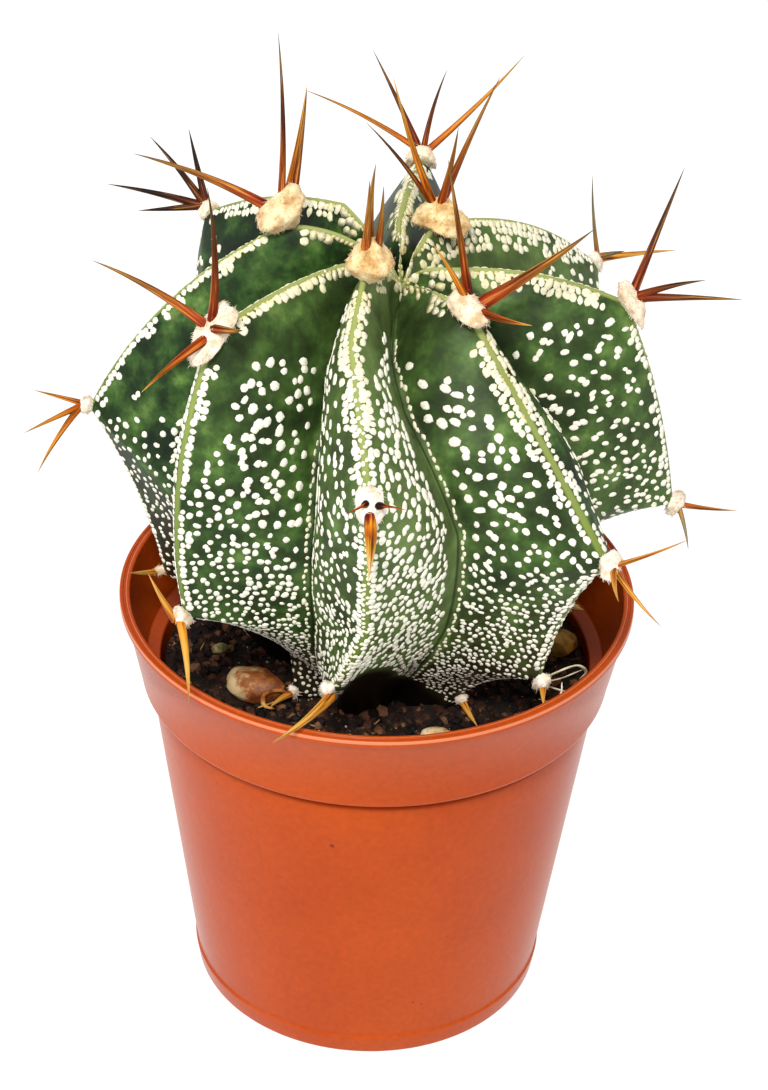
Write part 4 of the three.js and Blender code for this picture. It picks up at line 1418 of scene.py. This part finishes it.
def peat_height(x, y):
    """The height of the soil at a place, in mm."""
    radius = math.hypot(x, y)
    spot = Vector((x, y, 0))
    heave = (0.75 * noise.noise(spot / 6) + 0.4 * noise.noise(spot / 2.3)
             + 0.22 * noise.noise(spot / 0.9))
    level = PEAT_CROWN + (PEAT_EDGE - PEAT_CROWN) * min(1, radius / PEAT_RADIUS) ** 3
    dip = max(0, 1 - radius / DIP_RADIUS) * DIP_DEPTH
    return level + heave * min(1, max(0, (PEAT_RADIUS + 0.4 - radius) / 1.5) + 0.25) - dip


slope = (BODY_TOP_RADIUS - BASE_RADIUS) / LEDGE_HEIGHT
plug_foot = BASE_RADIUS - WALL - PEAT_GAP
plug_top = plug_foot + slope * (PEAT_EDGE - 2)
peat = turned("peat_plug", [
    (plug_foot - 0.3, FLOOR + 0.3), (plug_foot, FLOOR + 0.9), (plug_top, PEAT_EDGE),
], POT_SIDES)
only(peat)
with edit_mode():
    bpy.ops.mesh.select_mode(type="FACE")
    bpy.ops.mesh.select_all(action="DESELECT")
top = max(peat.data.polygons, key=lambda p: p.center.z)
top.select = True
with edit_mode():
    for _ in range(PEAT_RINGS):
        bpy.ops.mesh.inset(thickness=plug_top / (PEAT_RINGS + 1) * MM)
for vertex in peat.data.vertices:
    if vertex.co.z > (PEAT_EDGE - 0.1) * MM:
        vertex.co.z = peat_height(vertex.co.x / MM, vertex.co.y / MM) * MM
bpy.ops.object.shade_smooth()
print("peat:", len(peat.data.polygons), "faces")

# %% Peat materials
look = Look("damp_peat", Roughness=0.9, IOR=1.4)
crumb = look.noise(700, 5, 0.7)
colour = look.ramp(crumb, (0.36, "#090503"), (0.5, "#1b0e08"), (0.62, "#372015"), (0.74, "#654128"))
peat.data.materials.append(look.finish(colour, crumb, 0.9, 0.0004))
hand_over(peat, "peat", "peat")
print("soil:", look.material.name)


def crumb_material(name, codes):
    """A damp crumb whose colour differs from piece to piece."""
    look = Look(name, Roughness=0.7, IOR=1.4, Specular_IOR_Level=0.35)
    stops = [(i / (len(codes) - 1), code) for i, code in enumerate(codes)]
    specks = look.noise(1400, 3)
    colour = look.mix(0.8, look.ramp(look.kept("tone"), *stops), specks, "OVERLAY")
    return look.finish(colour, specks, 0.7, 0.0003)


# %% Crumbs and fibres
# The radii in mm between which loose pieces lie.
LOOSE_FROM, LOOSE_TO = 6.5, 22.6
crumb_luck = random.Random(21)
lump = begin(bpy.ops.mesh.primitive_ico_sphere_add, "crumb_template", subdivisions=1, radius=0.5)
for vertex in lump.data.vertices:
    vertex.co *= crumb_luck.uniform(0.75, 1.2)


def scatter(template, name, count, sizes, flatness, length=1.0, codes=()):
    """Copies of a crumb over the open soil, each with its own size, turn and tone."""
    places, tones = [], []
    while len(places) < count:
        radius = math.sqrt(crumb_luck.uniform(LOOSE_FROM**2, LOOSE_TO**2))
        at = direction(crumb_luck.uniform(0, 360)) * radius
        at.z = peat_height(at.x, at.y)
        size = sizes[0] + (sizes[1] - sizes[0]) * crumb_luck.random() ** 2.5
        out = Vector([crumb_luck.gauss(0, 0.5), crumb_luck.gauss(0, 0.5), 1])
        way = direction(crumb_luck.uniform(0, 360))
        places.append(placing(at + Vector((0, 0, size * 0.1)), out, way,
                              (size * length * MM, size * MM, size * flatness * MM)))
        tones.append(crumb_luck.random())
    made = stamp(template, name, places, tone=tones)
    made.data.materials.append(crumb_material(name + "_colour", codes))
    return hand_over(made, "peat")


loose = [
    scatter(lump, "peat_crumbs", 3600, (0.2, 1.7), 0.7,
            codes=("#070403", "#120907", "#27140d", "#452719", "#7a5539")),
    scatter(lump, "pale_grains", 520, (0.1, 0.4), 0.8, codes=("#6b4a2c", "#a3855a", "#cfc0a0")),
    scatter(lump, "bark_fibres", 420, (0.08, 0.26), 0.8, length=9,
            codes=("#1c0d06", "#3f200e", "#7a4a22", "#b08a58")),
]
bpy.data.objects.remove(lump)
print("loose pieces:", sum(len(made.data.polygons) for made in loose), "faces")

# %% [markdown]
# ## Stones
# Six stones lie in the peat. Water-worn gravel is rounded and lumpy, so each starts as an ico
# sphere with its points pushed in and out by noise. The ochre shard is broken stone, so flat
# pieces are cut off it with bisect.

# %% Stones
# node: x, y, length, width, height, turn, cuts, colours from dark to light
STONES = {
    "pebble": (-12.6, -7.2, 6.4, 4.6, 3.6, -20, 2, ("#6a3210", "#9c5a20", "#cfb78a")),
    "shard": (20.0, 2.4, 5.2, 4.2, 3.6, 35, 9, ("#54400f", "#9a7020", "#c8983c")),
    "cream_stone": (6.6, -14.6, 3.4, 2.0, 1.8, 5, 0, ("#a88452", "#d2b886", "#e6d8b4")),
    "green_grit": (-16.8, 0.0, 1.9, 1.2, 1.2, 15, 3, ("#6a6530", "#98924e", "#b8b07a")),
    "pale_grit": (-11.6, -14.4, 1.9, 1.5, 1.3, 40, 3, ("#857d60", "#bdb794", "#dcd7bd")),
    "brown_grit": (13.4, -16.0, 2.4, 1.7, 1.5, -30, 3, ("#4c2c15", "#80562f", "#a87f52")),
}


def stone_material(name, codes, centre, turn, size):
    """Stone that grows paler towards one end, broken up by noise."""
    look = Look(name, Roughness=0.6, IOR=1.52)
    axis = direction(turn + 180)
    reach = look.node("VectorMath", {0: look.spot, 1: axis}, "Value", operation="DOT_PRODUCT")
    middle, half = centre.dot(axis) * MM, size / 2 * MM
    drift = look.remap(reach, middle - half, middle + half, -0.14, 0.16)
    mottle = look.noise(2.6 / (size * MM), 6, 0.66)
    stops = [(0.38 + 0.12 * i, code) for i, code in enumerate(codes)]
    colour = look.ramp(look.maths("ADD", mottle, drift), *stops)
    return look.finish(colour, mottle, 0.5, 0.0003)


def stone(name, x, y, length, width, height, turn, cuts, codes):
    made = begin(bpy.ops.mesh.primitive_ico_sphere_add, name + "_stone", subdivisions=4, radius=1)
    luck = random.Random(sum(map(ord, name)))
    with edit_mode():
        for _ in range(cuts):
            face = Vector([luck.gauss(0, 1) for _ in range(3)]).normalized()
            bpy.ops.mesh.select_all(action="SELECT")
            bpy.ops.mesh.bisect(plane_co=face * luck.uniform(0.68, 0.86), plane_no=face,
                                clear_outer=True, use_fill=True)
    turned_axes = Matrix.Rotation(math.radians(turn), 3, "Z")
    seat = Vector((x, y, PEAT_CROWN + 0.22 * height))
    for vertex in made.data.vertices:
        unit = vertex.co.copy()
        unit *= 1 + 0.14 * noise.noise(unit * 1.3 + seat) + 0.04 * noise.noise(unit * 4 + seat)
        shaped = Vector((unit.x * length / 2, unit.y * width / 2, unit.z * height / 2))
        vertex.co = (seat + turned_axes @ shaped) * MM
    bpy.ops.object.shade_smooth_by_angle(angle=math.radians(30))
    made.data.materials.append(stone_material(name + "_gravel", codes, seat, turn, length))
    return hand_over(made, "stone", name)


for name, facts in STONES.items():
    stone(name, *facts)
print(len(STONES), "stones")

# %% [markdown]
# ## Floor and light
# The plant stands on a light table, an opal sheet lit through from below, so the ground stays plain
# white right up to the pot. The sheet lets much of the light from above through, so it throws only
# some back. A bright room all round, a soft box above and in front, and a weaker one on the other
# side keep the shadows soft.

# %% Floor
GLOW = 0.9
floor = begin(bpy.ops.mesh.primitive_plane_add, "studio_floor", size=4)
look = Look("white_acrylic_sheet", Roughness=0.9, Emission_Strength=GLOW)
look.shader.inputs["Base Color"].default_value = linear("#787878")
look.shader.inputs["Emission Color"].default_value = linear("#ffffff")
floor.data.materials.append(look.material)
print("floor glow:", GLOW)

# %% Lights
# The lamps aim at the middle of the plant.
AIM = Vector((0, 0, 0.06))


def soft_box(name, place, size, power, colour):
    bpy.ops.object.light_add(type="AREA", location=place)
    lamp = bpy.context.object
    lamp.name = name
    lamp.data.shape, lamp.data.size = "DISK", size
    lamp.data.energy, lamp.data.color = power, linear(colour)[:3]
    lamp.rotation_euler = (AIM - Vector(place)).to_track_quat("-Z", "Y").to_euler()
    return lamp


soft_box("key_box", (-0.06, -0.45, 0.6), 0.16, 4.2, "#fffaf2")
soft_box("fill_box", (-0.5, -0.25, 0.3), 0.5, 0.9, "#f4f8ff")
world = bpy.data.worlds.new("studio")
bpy.context.scene.world = world
world.use_nodes = True
background = world.node_tree.nodes["Background"]
background.inputs["Color"].default_value = linear("#ffffff")
background.inputs["Strength"].default_value = 0.7
bpy.context.scene.view_settings.view_transform = "Standard"
print("lights on")

# %% Finish
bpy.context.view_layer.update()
new_pieces = [o for o in bpy.context.scene.objects
              if o.type == "MESH" and o.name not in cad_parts]
print("triangles:", sum(len(p.vertices) - 2 for o in new_pieces for p in o.data.polygons))
